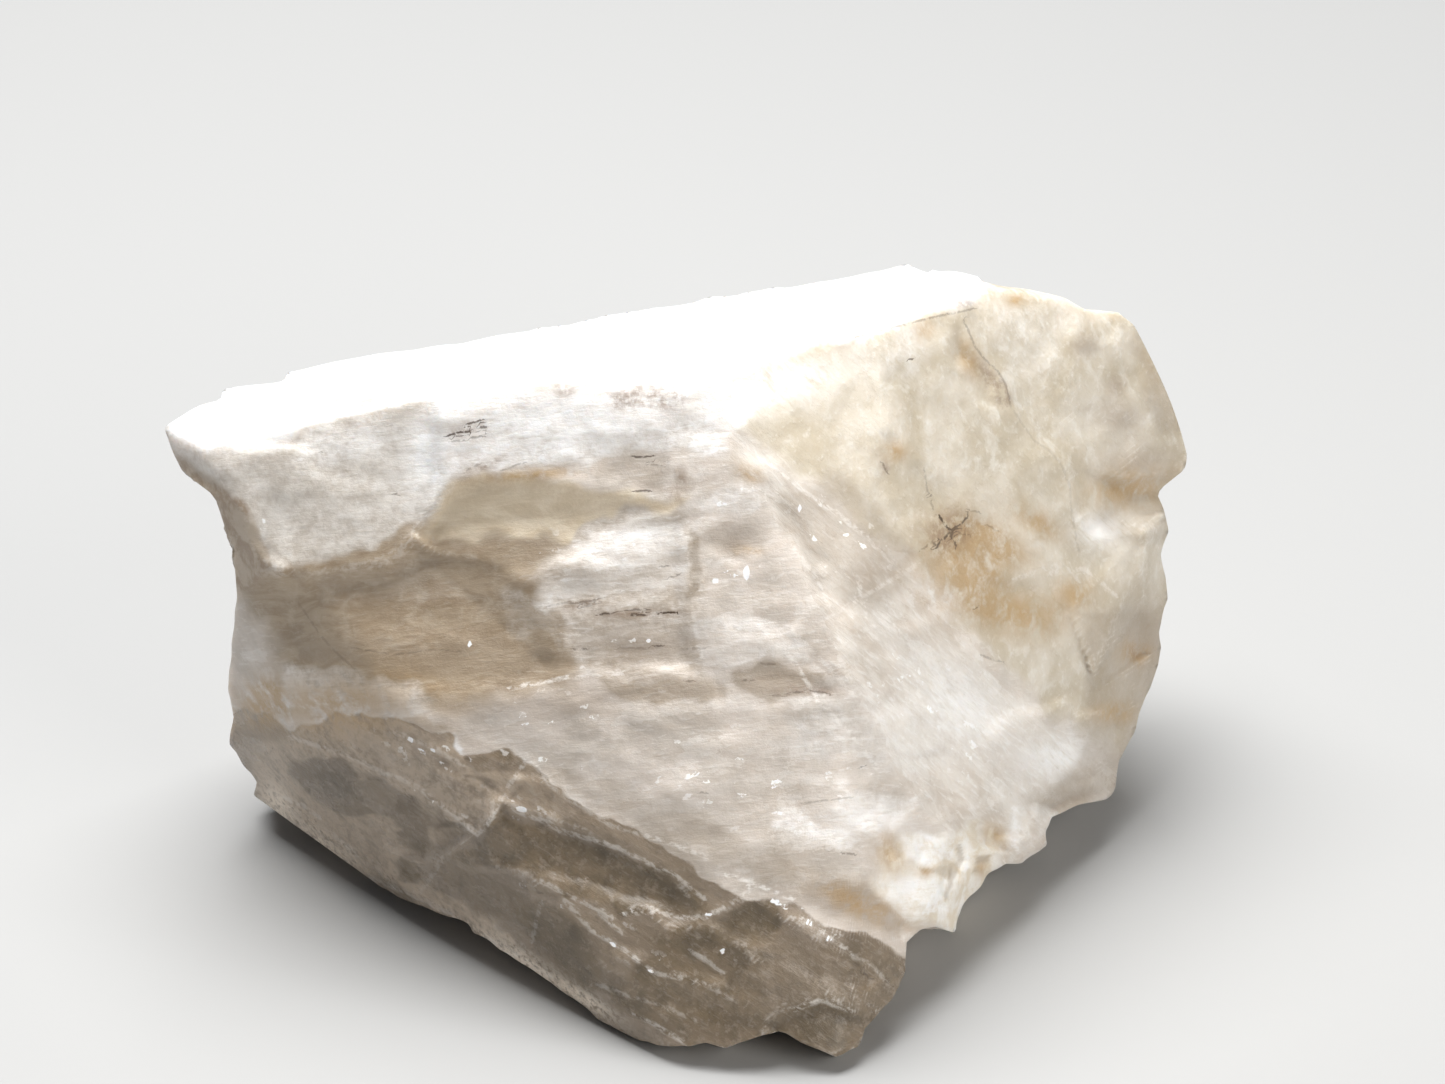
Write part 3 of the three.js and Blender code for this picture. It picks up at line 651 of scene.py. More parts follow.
# Patches lighter or darker than what is round them: how much, how softly they end, and their edge.
# They are partly the mineral's own tone and partly painted light and shade.
TONES = [
    # dark facets of the foot, from the left: dark clear glass, painted shade and painted dark reflections
    (-1.15, 0.40, [(-22.0, 4.6), (-20.2, 5.2), (-19.1, 5.2), (-17.4, 4.0), (-15.6, 3.2), (-14.4, 2.7),
                   (-12.0, 1.1),
                   (-13.8, 0.9), (-16.2, 1.8), (-17.8, 2.0), (-19.3, 1.6), (-19.9, 2.0), (-21.0, 3.0)]),
    (-1.20, 0.40, [(-16.2, 1.3), (-15.5, 1.6), (-14.6, 1.3), (-14.1, 0.4), (-14.3, -0.3), (-15.2, -0.2),
                   (-16.1, 0.6)]),
    (-1.10, 0.40, [(-15.9, -0.6), (-15.0, -0.9), (-15.1, -1.7), (-16.2, -1.5)]),
    (-0.90, 0.50, [(-14.4, 4.9), (-13.6, 5.1), (-12.7, 4.4), (-12.9, 3.8), (-14.1, 3.9)]),
    (-0.90, 0.25, [(-12.5, 4.6), (-10.3, 3.4), (-10.4, 3.0), (-12.4, 4.2)]),
    (-1.20, 0.35, [(-15.5, 7.6), (-14.3, 7.8), (-13.4, 7.2), (-12.9, 6.5), (-13.8, 6.6), (-15.1, 7.1)]),
    (-0.70, 0.35, [(-12.2, 5.2), (-10.9, 5.3), (-9.9, 5.6), (-9.0, 5.3), (-9.2, 4.7), (-10.0, 4.3),
                   (-11.5, 4.4)]),
    (-0.30, 0.50, [(-8.7, 4.9), (-8.0, 4.4), (-5.0, 2.4), (-3.4, 1.2), (-6.2, 1.4), (-9.6, 3.2)]),
    (-0.85, 0.35, [(-10.4, 2.5), (-9.3, 1.9), (-8.0, 1.5), (-6.6, 0.8), (-4.9, 0.5), (-3.4, 0.0),
                   (-1.8, -0.8), (-0.3, -1.5),
                   (0.8, -2.3), (1.5, -3.1), (0.8, -3.8), (-0.3, -3.5), (-1.8, -3.4), (-3.2, -3.5),
                   (-4.3, -3.0),
                   (-5.9, -2.5), (-7.3, -1.9), (-8.0, -1.4), (-10.9, -0.9), (-13.1, -0.2), (-12.2, 0.2),
                   (-11.1, 0.7)]),
    (-0.35, 0.40, [(-2.4, 1.2), (-0.9, 1.1), (0.2, 0.3), (1.6, -0.7), (2.5, -1.7), (2.1, -2.2), (1.3, -1.9),
                   (0.2, -1.4),
                   (-1.1, -0.2)]),
    (-0.95, 0.35, [(4.0, -2.5), (5.0, -2.8), (5.7, -3.3), (5.7, -4.5), (4.3, -5.1), (3.0, -4.8),
                   (2.6, -3.8)]),
    (-0.70, 0.40, [(-2.8, -4.5), (-1.4, -4.8), (0.8, -4.0), (1.9, -4.8), (2.5, -5.3), (2.0, -5.9),
                   (0.2, -5.6),
                   (-1.4, -5.2)]),
    (-0.75, 0.50, [(-8.2, -2.8), (-6.3, -3.6), (-4.9, -4.9), (-4.1, -6.6), (-4.5, -7.8), (-5.5, -7.9),
                   (-6.7, -7.0),
                   (-7.3, -5.9), (-8.6, -4.8), (-9.6, -3.4)]),
    (-0.90, 0.30, [(-0.5, -6.4), (0.8, -6.6), (2.1, -7.1), (3.0, -8.1), (2.1, -8.3), (0.8, -7.5)]),
    (-0.50, 0.30, [(-2.5, -6.6), (-1.1, -7.2), (0.2, -8.0), (1.6, -8.9), (2.7, -9.6), (1.6, -9.4),
                   (-0.6, -8.4), (-2.6, -7.2)]),
    (-1.00, 0.25, [(-4.6, -7.8), (-3.4, -8.4), (-2.5, -9.0), (-0.9, -9.9), (-2.5, -9.4), (-3.6, -8.8)]),
    (-1.00, 0.35, [(5.4, -9.8), (6.6, -9.1), (8.0, -8.7), (9.6, -9.3), (9.8, -10.4), (8.8, -11.2),
                   (7.0, -10.6)]),
    (-0.65, 1.50, [(0.6, -3.6), (6.0, -4.6), (11.0, -5.4), (13.4, -5.6), (13.4, -9.0), (10.6, -12.4),
                   (5.0, -10.6),
                   (-2.0, -11.6), (-5.0, -9.8), (-2.0, -6.0)]),
    # pale veils on the foot: painted reflections, and painted light where the surface turns under
    (0.70, 0.60, [(-22.0, 6.6), (-18.9, 5.7), (-16.7, 4.6), (-14.0, 3.2), (-11.5, 1.1), (-10.4, 2.5),
                  (-12.7, 4.0),
                  (-15.0, 5.2), (-18.0, 6.8), (-20.8, 7.2)]),
    (0.80, 0.40, [(-14.1, 6.1), (-12.5, 6.0), (-12.3, 4.8), (-13.2, 5.0), (-14.3, 5.6)]),
    (0.40, 0.60, [(5.7, -2.9), (7.4, -3.7), (8.9, -4.9), (8.4, -5.2), (6.6, -4.3), (5.6, -3.5)]),
    (0.30, 0.80, [(5.8, -4.8), (7.6, -5.2), (9.0, -6.6), (8.6, -8.0), (6.6, -8.6), (5.0, -9.0),
                  (4.2, -7.2)]),
    (0.20, 0.50, [(-5.6, -3.0), (-3.4, -3.8), (-2.4, -5.0), (-1.0, -6.4), (-2.6, -6.2), (-4.4, -4.6)]),
    (0.55, 0.30, [(-9.4, -5.6), (-7.9, -6.2), (-6.7, -7.2), (-4.5, -8.8), (-2.5, -9.6), (0.2, -10.9),
                  (-2.4, -11.2),
                  (-5.0, -9.8), (-9.6, -6.4)]),
    (0.40, 0.50, [(-24.2, 4.2), (-22.5, 4.4), (-22.0, 3.4), (-20.6, 2.2), (-18.9, 0.4), (-18.2, -0.4),
                  (-19.8, -0.4),
                  (-22.4, 0.8), (-24.0, 2.6)]),
    (0.90, 0.70, [(-18.2, 0.2), (-14.4, -1.8), (-11.2, -3.4), (-9.4, -5.2), (-11.6, -4.6), (-15.0, -2.6),
                  (-18.4, -1.0)]),
    (1.00, 1.80, [(-24.0, 6.0), (-22.0, 6.6), (-13.0, 5.4), (-10.8, 2.8), (-13.6, 0.6), (-16.4, -0.8),
                  (-20.4, 0.4),
                  (-24.0, 3.4)]),
    (0.70, 1.00, [(-15.0, 4.6), (-11.4, 5.0), (-8.6, 4.6), (-6.0, 2.8), (-7.0, 1.4), (-10.4, 2.6),
                  (-12.0, 0.6),
                  (-14.8, 1.4)]),
    (1.00, 0.60, [(-21.8, 2.4), (-20.4, 1.6), (-18.4, 0.2), (-16.4, -1.0), (-17.6, -1.8), (-20.0, -1.0),
                  (-22.4, 0.8)]),
    (1.00, 0.50, [(-12.0, -3.6), (-9.6, -4.8), (-7.4, -6.6), (-7.6, -8.2), (-10.4, -6.4), (-12.8, -4.6)]),
    # the grey fibres over the foot
    (-0.50, 0.90, [(-7.4, 4.6), (-4.6, 4.4), (-1.6, 3.4), (1.4, 2.2), (3.6, 0.8), (6.4, -0.6), (6.8, -2.0),
                   (4.4, -1.7),
                   (2.6, -0.9), (1.4, -0.4), (-1.2, 0.9), (-4.0, 1.7), (-7.0, 3.6)]),
    # the white brow, and the ledge left of it
    (1.10, 1.00, [(-14.6, 25.8), (-6.0, 26.6), (2.4, 26.9), (4.6, 25.2), (2.4, 22.6), (-3.6, 22.4),
                  (-5.4, 21.7),
                  (-8.6, 22.0), (-12.0, 21.9), (-14.2, 20.4), (-15.0, 22.0)]),
    (0.60, 1.60, [(-22.0, 24.6), (-16.6, 25.4), (-16.4, 22.2), (-21.6, 21.6)]),
    # the brown wall between the upper pocket and the nose
    (-0.55, 0.70, [(-13.4, 17.8), (-9.8, 17.9), (-7.2, 18.0), (-6.2, 17.7), (-7.8, 15.9), (-8.6, 14.8),
                   (-12.0, 14.8),
                   (-13.4, 15.8)]),
    # the slanting ridge, the lower slope and the right border;
    # painted shade in the groove and along the lumpy border
    (-0.55, 1.20, [(5.6, 20.4), (8.8, 21.6), (12.0, 19.0), (13.6, 15.4), (10.6, 13.6), (7.6, 15.0),
                   (5.8, 17.6)]),
    (0.45, 1.60, [(6.0, 9.0), (11.0, 9.4), (16.0, 7.8), (16.6, 4.6), (11.0, 4.4), (6.4, 5.8)]),
    (-0.45, 1.20, [(23.8, 21.4), (28.8, 21.8), (28.8, 17.2), (24.6, 17.4), (23.4, 18.8)]),
    (-0.55, 1.00, [(25.4, 30.4), (29.2, 28.0), (29.2, 23.0), (27.0, 23.4), (26.0, 26.6)]),
    (-0.60, 1.20, [(22.6, 13.6), (28.0, 13.8), (28.0, 9.6), (25.6, 4.0), (21.6, 1.4), (19.4, -1.0),
                   (19.6, 2.4),
                   (22.4, 5.6), (23.2, 9.4)]),
    (0.40, 1.40, [(9.4, 29.8), (13.4, 30.6), (14.8, 28.4), (12.2, 26.2), (9.6, 27.8)]),
    (0.35, 1.40, [(17.6, 31.4), (21.4, 30.8), (22.2, 27.4), (18.6, 26.8)]),
    # the orange hem of the pocket
    (0.80, 1.20, [(-22.6, 10.2), (-14.6, 9.6), (-13.0, 6.4), (-16.0, 5.8), (-22.4, 7.2)]),
    # the nose, the block beside it and the steps below; the block's dark left side is partly painted shade
    (0.45, 0.70, [(-7.1, 16.2), (-4.9, 17.7), (-2.7, 18.9), (-0.7, 18.8), (0.4, 18.5), (0.4, 17.1),
                  (-1.6, 16.4),
                  (-3.1, 16.0), (-5.5, 15.9)]),
    (0.45, 0.60, [(-8.4, 14.0), (-6.6, 15.6), (-4.4, 16.2), (-2.0, 16.6), (0.2, 16.4), (0.2, 15.2),
                  (-3.0, 14.8),
                  (-6.0, 14.6), (-7.4, 13.4)]),
    (-0.60, 0.25, [(0.5, 18.6), (1.2, 18.4), (1.2, 16.8), (1.0, 14.2), (0.6, 13.6), (0.4, 14.4),
                   (0.4, 16.6)]),
    (0.40, 0.30, [(0.8, 12.9), (1.4, 10.4), (2.6, 10.4), (3.7, 10.8), (5.0, 11.1), (6.4, 10.6), (7.8, 10.3),
                  (6.6, 12.4),
                  (4.6, 13.2), (2.0, 13.2)]),
    (-0.35, 0.50, [(1.5, 18.7), (3.0, 19.0), (5.1, 18.5), (4.9, 17.1), (3.9, 16.7), (1.7, 16.9)]),
    (0.60, 0.60, [(1.2, 19.4), (1.8, 20.6), (3.4, 21.4), (4.6, 20.2), (4.4, 19.2), (2.6, 19.1)]),
    (-0.75, 0.60, [(-5.0, 10.0), (-2.5, 9.8), (1.0, 9.9), (2.1, 9.6), (2.2, 8.5), (-2.4, 8.4)]),
    (-0.65, 0.35, [(2.6, 10.3), (3.7, 10.6), (4.9, 10.9), (6.3, 10.4), (8.0, 10.2), (8.6, 9.0), (6.6, 8.5),
                   (4.2, 8.6),
                   (3.0, 9.2)]),
    (-0.25, 0.50, [(-6.2, 13.2), (0.6, 13.3), (0.8, 12.6), (1.2, 10.4), (-3.0, 9.9), (-5.5, 10.4)]),
    (-0.35, 0.50, [(-5.2, 22.4), (-4.6, 20.8), (-1.2, 20.4), (-0.6, 21.4), (-0.9, 22.8), (-3.4, 23.0)]),
    (-0.40, 0.30, [(-0.6, 21.2), (0.4, 21.6), (0.6, 20.6), (0.0, 19.4), (-0.6, 20.0)]),
    # the pocket, the rim left of it, the right face and the slope beside the foot; painted light lifts the
    # pocket under the ledge and beside the nose, where it lies in shade, and it darkens towards its bottom
    (-0.55, 0.90, [(-22.6, 12.4), (-18.0, 12.2), (-12.0, 12.0), (-7.6, 12.0), (-6.6, 10.4), (-12.0, 9.8),
                   (-18.0, 10.0),
                   (-21.6, 10.6)]),
    (0.30, 0.80, [(-10.6, 16.2), (-7.8, 16.2), (-6.4, 13.4), (-6.4, 11.4), (-9.6, 11.6)]),
    (0.20, 0.90, [(-21.0, 15.8), (-15.0, 17.0), (-9.0, 17.2), (-9.0, 14.6), (-15.0, 14.0), (-20.6, 13.8)]),
    (0.10, 0.60, [(-25.8, 14.8), (-24.3, 14.8), (-23.4, 12.0), (-23.2, 9.6), (-24.0, 6.8), (-26.0, 6.8)]),
    (-0.15, 1.60, [(5.0, 23.6), (8.4, 26.4), (13.2, 26.2), (13.6, 19.6), (11.2, 19.0), (8.0, 21.2)]),
    (0.90, 0.35, [(11.8, -1.6), (12.9, -1.9), (14.3, -1.7), (14.9, -2.4), (15.2, -3.5), (13.9, -3.9),
                  (12.4, -3.6),
                  (11.5, -2.8)]),
    (0.90, 0.35, [(12.4, 1.0), (13.6, 1.4), (14.9, 0.8), (15.3, -0.4), (13.9, -0.9), (13.0, -0.3)]),
    (-0.50, 0.25, [(13.4, -0.9), (14.2, -1.0), (15.2, -0.7), (15.1, -1.4), (14.2, -1.5)]),
    (-0.55, 0.25, [(15.6, 0.9), (15.9, -0.2), (15.3, -1.4), (15.6, -2.9), (15.1, -2.8), (15.0, -1.0),
                   (15.2, 0.6)]),
    (0.70, 0.30, [(16.0, 0.6), (16.9, 0.3), (16.4, -1.0), (15.9, -2.6), (15.8, -1.0)]),
    (-0.60, 0.30, [(16.9, -0.2), (17.5, -0.3), (17.2, -1.5), (16.7, -1.4)]),
    (0.80, 0.40, [(18.8, 2.8), (20.2, 2.6), (21.4, 1.9), (20.6, 0.6), (19.4, -0.4), (18.4, 0.4),
                  (18.4, 1.6)]),
    (-0.40, 0.30, [(18.9, 1.9), (20.0, 1.5), (20.4, 0.7), (19.4, 0.7)]),
    (0.60, 0.60, [(9.0, 4.0), (11.8, 3.2), (13.8, 3.6), (12.8, 2.0), (10.6, 1.2), (8.4, 2.2)]),
    (0.70, 0.40, [(5.2, 2.2), (8.4, 1.4), (10.2, 0.6), (9.4, 0.0), (6.8, 0.6), (5.0, 1.2)]),
    (-0.30, 0.40, [(4.6, 3.6), (8.2, 3.9), (11.4, 4.4), (11.8, 3.8), (8.4, 3.2), (5.0, 2.9)]),
    (-0.45, 0.50, [(7.2, -1.6), (9.4, -1.4), (11.6, -2.6), (12.9, -4.0), (12.0, -4.9), (9.6, -3.6)]),
]

TONE_RANGE = (-1.0, 1.2)

# Thin lines on the front, each with how strong or dark it is: sooty dashes, cracks and
# branching stains first, then bright fractures and broken edges, partly painted glints.
DARK_LINES = [
    # cracks and the crest line
    (0.36, [(16.1, 30.0), (16.7, 28.6), (17.3, 27.8), (18.0, 27.2), (18.5, 26.3), (18.7, 25.3)]),
    (0.14, [(18.7, 25.3), (19.3, 24.3), (20.1, 23.2), (20.9, 22.7), (21.6, 21.9), (22.1, 20.6),
            (22.2, 19.0),
            (22.6, 17.0)]),
    (0.40, [(9.9, 29.1), (11.4, 29.5), (13.0, 29.9), (14.6, 30.3), (16.6, 30.7)]),
    (0.25, [(-21.6, 14.0), (-20.4, 12.2), (-19.2, 10.9), (-18.2, 10.1)]),
    (0.30, [(-18.6, 11.5), (-16.2, 11.1), (-14.0, 11.4), (-12.4, 11.3)]),
    # dashes along the fibres of the nose and under it
    (0.80, [(-4.6, 13.4), (-3.8, 13.45)]), (0.6, [(-3.1, 13.6), (-1.9, 13.7)]),
    (0.85, [(-2.8, 13.35), (-2.0, 13.35)]),
    (1.0, [(-1.15, 13.47), (-0.25, 13.5)]), (0.5, [(-6.2, 14.0), (-5.3, 14.1), (-4.5, 14.3)]),
    (0.35, [(-5.6, 13.8), (-4.7, 14.0)]),
    (0.30, [(-7.4, 13.9), (-6.2, 14.1)]), (0.50, [(-0.5, 15.5), (-0.1, 15.65)]),
    (0.45, [(-1.0, 16.1), (-0.7, 16.15)]),
    (0.70, [(-1.4, 11.6), (-1.1, 11.6)]), (0.30, [(0.3, 11.45), (1.4, 11.5)]),
    (0.25, [(-3.4, 11.5), (-2.0, 11.45)]),
    (0.50, [(3.6, 9.65), (4.1, 9.66)]), (0.50, [(6.3, 9.0), (6.8, 8.98)]),
    (0.50, [(7.4, 9.05), (8.4, 8.9)]),
    (0.30, [(4.6, 10.6), (5.6, 10.55)]), (0.45, [(0.4, 9.6), (0.7, 9.6)]), (0.3, [(5.2, 8.8), (6.0, 8.75)]),
    # dashes of the brow
    (0.90, [(-13.2, 23.5), (-12.6, 23.7), (-12.0, 23.75)]), (0.80, [(-12.0, 24.2), (-11.3, 24.4)]),
    (0.70, [(-11.3, 23.98), (-10.9, 24.02)]), (0.50, [(-11.8, 23.4), (-11.2, 23.5)]),
    (0.4, [(-12.9, 23.2), (-12.3, 23.25)]),
    (0.80, [(-2.6, 22.3), (-1.6, 22.36)]), (0.50, [(-1.7, 21.9), (-1.2, 21.9)]),
    (0.80, [(-2.5, 20.38), (-1.8, 20.42)]),
    (0.50, [(-16.4, 20.2), (-16.0, 20.2)]), (0.40, [(-20.3, 22.6), (-20.2, 22.6)]),
    (0.35, [(-10.0, 21.6), (-8.9, 22.0)]), (0.30, [(-12.2, 21.5), (-11.4, 21.9)]),
    # the branching stain of the right face and its specks
    (0.25, [(13.86, 21.5), (13.9, 21.1)]), (0.30, [(13.95, 20.7), (14.0, 20.4)]),
    (0.30, [(14.2, 19.8), (14.3, 19.5)]),
    (0.95, [(14.7, 18.9), (15.1, 18.4), (15.3, 18.0)]), (0.75, [(15.4, 18.2), (15.9, 18.5), (16.3, 18.9)]),
    (0.80, [(15.2, 17.9), (14.8, 17.6), (14.5, 17.2)]), (0.70, [(15.5, 17.9), (15.6, 17.3)]),
    (0.35, [(14.3, 17.5), (13.7, 17.1)]), (0.70, [(15.5, 18.1), (15.1, 17.9)]),
    (0.30, [(15.8, 18.0), (16.3, 17.9)]),
    (0.30, [(16.4, 19.3), (16.9, 19.2)]), (0.30, [(17.5, 18.4), (17.9, 18.2)]),
    (0.50, [(11.5, 21.9), (11.7, 21.5)]), (0.80, [(13.05, 27.84), (13.1, 27.86)]),
    (0.70, [(10.28, 4.75), (10.34, 4.77)]),
    (0.60, [(16.8, 13.8), (16.84, 13.82)]), (0.5, [(14.2, 20.1), (14.22, 20.2)]),
    (0.35, [(17.2, 11.0), (18.2, 10.7)]),
    (0.45, [(9.3, -0.15), (9.8, -0.2)]), (0.30, [(7.0, 2.7), (9.6, 3.0)]), (0.4, [(1.1, 3.3), (1.4, 3.3)]),
    (0.60, [(10.3, -6.9), (10.8, -7.25)]), (0.45, [(10.0, -6.4), (10.3, -6.6)]),
    (0.5, [(-6.0, 11.4), (-5.4, 11.45)]),
]
PALE_LINES = [
    # fractures and facet edges of the foot, with painted glints along them
    (0.7, [(-22.0, 6.4), (-20.5, 5.9), (-18.9, 5.4), (-18.0, 5.0), (-16.8, 4.4), (-15.2, 3.8), (-14.1, 3.0),
           (-13.1, 2.3), (-11.5, 1.0)]),
    (0.9, [(-13.6, 2.6), (-12.4, 1.7), (-11.5, 0.9), (-10.9, 1.5), (-10.4, 2.4), (-10.0, 3.3),
           (-8.8, 5.0)]),
    (0.7, [(-16.4, 6.8), (-15.4, 6.4), (-14.2, 5.9), (-12.4, 4.9)]),
    (0.9, [(-9.4, 2.3), (-8.7, 2.0), (-7.5, 1.6), (-6.8, 1.1), (-4.9, 0.6), (-3.4, 0.1), (-1.8, -0.7),
           (-0.3, -1.4),
           (1.3, -2.7)]),
    (0.6, [(-8.6, 5.3), (-7.3, 3.6), (-3.9, 1.4), (-1.2, 0.6), (1.6, -0.4)]),
    (0.9, [(-3.2, -3.6), (-1.4, -3.5), (0.2, -3.8), (1.4, -3.8), (2.7, -3.1), (3.9, -2.3)]),
    (1.0, [(2.7, -1.4), (4.3, -1.9), (5.7, -2.5), (6.3, -2.7)]),
    (0.9, [(6.3, -3.8), (7.4, -4.0), (8.1, -4.6), (9.3, -5.5)]),
    (0.8, [(-8.0, -1.7), (-7.0, -2.2), (-5.2, -3.1), (-3.9, -3.7)]),
    (0.7, [(-6.6, -2.8), (-5.6, -3.9), (-5.0, -4.6)]),
    (0.9, [(-5.1, -4.5), (-3.2, -5.6), (-2.1, -6.5), (-1.3, -7.0), (0.4, -7.3)]),
    (0.6, [(-4.6, -3.6), (-3.4, -4.6)]),
    (0.8, [(0.6, -5.7), (1.6, -6.3), (2.4, -7.0)]), (0.5, [(-0.2, -6.9), (1.4, -7.6), (2.8, -8.4)]),
    (0.9, [(-2.5, -9.3), (-1.2, -10.0), (0.2, -10.9)]),
    (0.5, [(-4.6, -7.6), (-3.2, -8.2), (-1.6, -8.6), (0.8, -9.6)]),
    (0.9, [(6.6, -9.0), (8.0, -8.5), (9.7, -9.1)]), (0.5, [(9.8, -6.0), (10.8, -6.4), (11.8, -7.6)]),
    (0.5, [(-7.9, -3.0), (-8.2, -4.2), (-8.4, -5.1)]), (0.4, [(-13.5, -0.4), (-14.2, -1.6), (-14.9, -2.5)]),
    (0.7, [(-22.4, 3.0), (-21.3, 2.5), (-20.5, 1.9)]), (0.6, [(-19.9, 1.1), (-19.3, 0.6), (-18.4, -0.2)]),
    (0.5, [(-20.5, -0.4), (-18.0, -1.4), (-15.4, -2.4), (-12.0, -4.1)]),
    (0.7, [(-11.6, -4.6), (-9.3, -5.9), (-7.4, -7.1)]),
    # thin edges in the white fibres
    (0.8, [(-9.6, 9.2), (-8.0, 9.5), (-6.4, 9.8), (-4.6, 9.9)]),
    (0.5, [(0.75, 13.4), (0.9, 12.2), (1.4, 10.4)]),
    (0.6, [(9.0, 15.7), (10.1, 15.2), (10.5, 13.3)]),
    (0.7, [(11.6, 13.3), (13.0, 11.6), (14.3, 10.1), (14.9, 8.9)]),
    (0.5, [(9.0, 11.6), (10.2, 12.4), (11.6, 13.0)]), (0.7, [(4.5, 12.8), (6.3, 10.9), (7.8, 8.6)]),
    (0.5, [(21.1, 15.7), (22.9, 16.0), (24.7, 14.5)]), (0.5, [(6.4, 17.2), (7.6, 15.6), (8.4, 14.0)]),
    (0.5, [(8.4, 8.0), (10.0, 6.2), (11.2, 4.6)]), (0.5, [(13.4, 8.6), (15.2, 6.8), (16.4, 5.2)]),
    (0.6, [(3.6, 23.0), (5.2, 21.8), (7.1, 20.3), (8.8, 19.2), (10.6, 17.7)]),
    (0.5, [(6.0, 12.8), (8.3, 10.5), (11.2, 7.3), (12.9, 5.1)]),
    (0.4, [(11.7, 12.8), (14.0, 10.8), (16.0, 9.2)]),
    (0.3, [(10.6, 17.7), (14.4, 14.2), (18.1, 10.8)]), (0.6, [(2.0, 15.2), (2.6, 15.3)]),
    (0.7, [(3.4, 15.8), (3.9, 15.6)]),
    (0.4, [(19.0, 15.4), (20.8, 16.0), (22.0, 16.3), (22.6, 15.2)]),
    (0.4, [(8.4, 13.2), (11.4, 15.0), (13.4, 16.2)]),
]

# Places where a mark is strong: centre, radii and turn of each.
OCHRE = [((-19.6, 8.4), (5.6, 1.6), 3), ((-23.6, 8.6), (0.9, 1.2), 0), ((11.9, -0.2), (0.8, 1.3), 20),
         ((17.1, -1.0), (0.4, 0.6), 0), ((13.9, -1.2), (0.5, 0.3), 0),
         ((10.2, -3.0), (2.8, 0.8), -24), ((17.1, 15.3), (1.0, 1.6), 0), ((19.2, 13.4), (3.0, 1.3), -10),
         ((22.4, 14.6), (1.1, 0.9), 0), ((13.86, 29.6), (0.5, 0.7), 0), ((17.8, 0.9), (0.9, 0.6), -30),
         ((15.8, 16.6), (2.4, 2.6), -30), ((4.0, 21.4), (0.8, 0.4), -30), ((3.9, 17.0), (0.7, 0.25), 0),
         ((25.4, 20.5), (2.6, 1.1), 5), ((20.3, 18.6), (1.6, 0.7), -35), ((18.0, 17.4), (2.2, 0.8), -30),
         ((25.8, 11.2), (0.8, 0.7), 0), ((24.6, 7.8), (1.2, 0.6), 0), ((12.2, 22.6), (0.8, 0.6), 0),
         ((16.3, 27.9), (0.6, 1.2), 20), ((19.0, 31.2), (0.6, 0.4), 0), ((-8.5, 21.3), (3.0, 0.4), 6)]
RUST = [((15.3, 18.0), (0.6, 0.5), 20), ((15.3, 18.0), (0.9, 0.7), 20), ((15.2, 18.1), (1.3, 1.1), 20),
        ((17.6, 26.7), (0.5, 1.4), 35), ((18.4, 25.7), (0.3, 0.8), 10),
        ((-6.5, 26.2), (0.7, 0.6), 0), ((-2.4, 25.8), (1.6, 0.8), 5), ((-0.5, 25.5), (1.1, 0.8), 0),
        ((-3.4, 25.4), (0.6, 0.4), 0), ((0.1, 21.0), (0.35, 0.7), 20), ((-0.3, 20.2), (0.25, 0.6), 30),
        ((16.0, 31.0), (0.9, 0.3), 0), ((11.6, 21.7), (0.3, 0.4), 0), ((-10.9, 21.9), (1.4, 0.25), 25),
        ((-12.2, 23.9), (1.2, 0.5), 18), ((-2.4, 13.4), (2.4, 0.25), 1), ((25.7, 11.2), (0.4, 0.4), 0),
        ((-5.6, 13.95), (1.2, 0.25), 8), ((7.6, 9.0), (1.6, 0.3), -3)]
# Darker grey-beige spots: grey smudges and darker facets, and painted shade in dents and under the nose,
# the steps and the groove.
SMUDGES_AND_SHADE = [((-17.0, 6.4), (4.6, 1.4), -4), ((-6.0, 8.4), (5.0, 1.2), 3), ((24.9, 24.6), (1.6, 1.0), -20),
         ((22.9, 28.6), (0.8, 0.7), 0), ((24.7, 26.4), (0.6, 0.6), 0), ((26.4, 12.0), (1.6, 3.2), 0),
         ((26.0, 22.0), (2.4, 1.0), 0), ((5.4, 9.6), (2.8, 1.0), -3),
         ((9.4, -3.4), (3.2, 1.1), -22), ((22.8, 2.6), (2.0, 1.0), 0),
         ((-2.0, 11.5), (3.6, 1.6), 0), ((3.0, 17.4), (1.2, 0.8), 0)]
# Whiter spots: the white of the mineral, and painted highlights along the lower rim of the foot.
WHITE_AND_HIGHLIGHTS = [((-20.6, 0.4), (2.6, 0.7), -33), ((-22.8, 2.6), (0.8, 1.4), 30), ((-9.4, -5.9), (2.8, 0.5), -34),
         ((-5.4, -8.4), (2.0, 0.4), -32), ((-6.0, 24.9), (7.5, 1.7), 6), ((-2.8, 17.7), (2.2, 0.7), 14),
         ((-14.6, 22.6), (1.2, 3.0), -10),
         ((23.9, 18.2), (1.6, 1.0), 0), ((21.6, 5.4), (2.6, 1.2), 10), ((10.6, 1.6), (2.2, 0.8), -8),
         ((13.4, -2.0), (1.6, 0.9), -10), ((16.0, 8.4), (3.4, 1.4), -42), ((-27.0, 23.4), (1.6, 0.8), 0),
         ((5.4, 26.6), (3.6, 1.2), 10)]
# Darker spots on the foot: the murk of its glass, partly painted shade.
MURK_AND_SHADE = [((-4.6, -0.2), (1.8, 0.8), -28), ((-0.8, -2.4), (1.6, 0.8), -30),
        ((-19.4, 3.8), (2.0, 1.1), -30), ((-13.4, 2.0), (1.6, 0.5), -30), ((4.4, -3.6), (1.0, 0.8), 0),
        ((7.8, -10.2), (2.8, 1.8), 0), ((1.6, -5.0), (1.4, 0.5), -20), ((-6.2, -5.4), (1.2, 1.8), 30)]
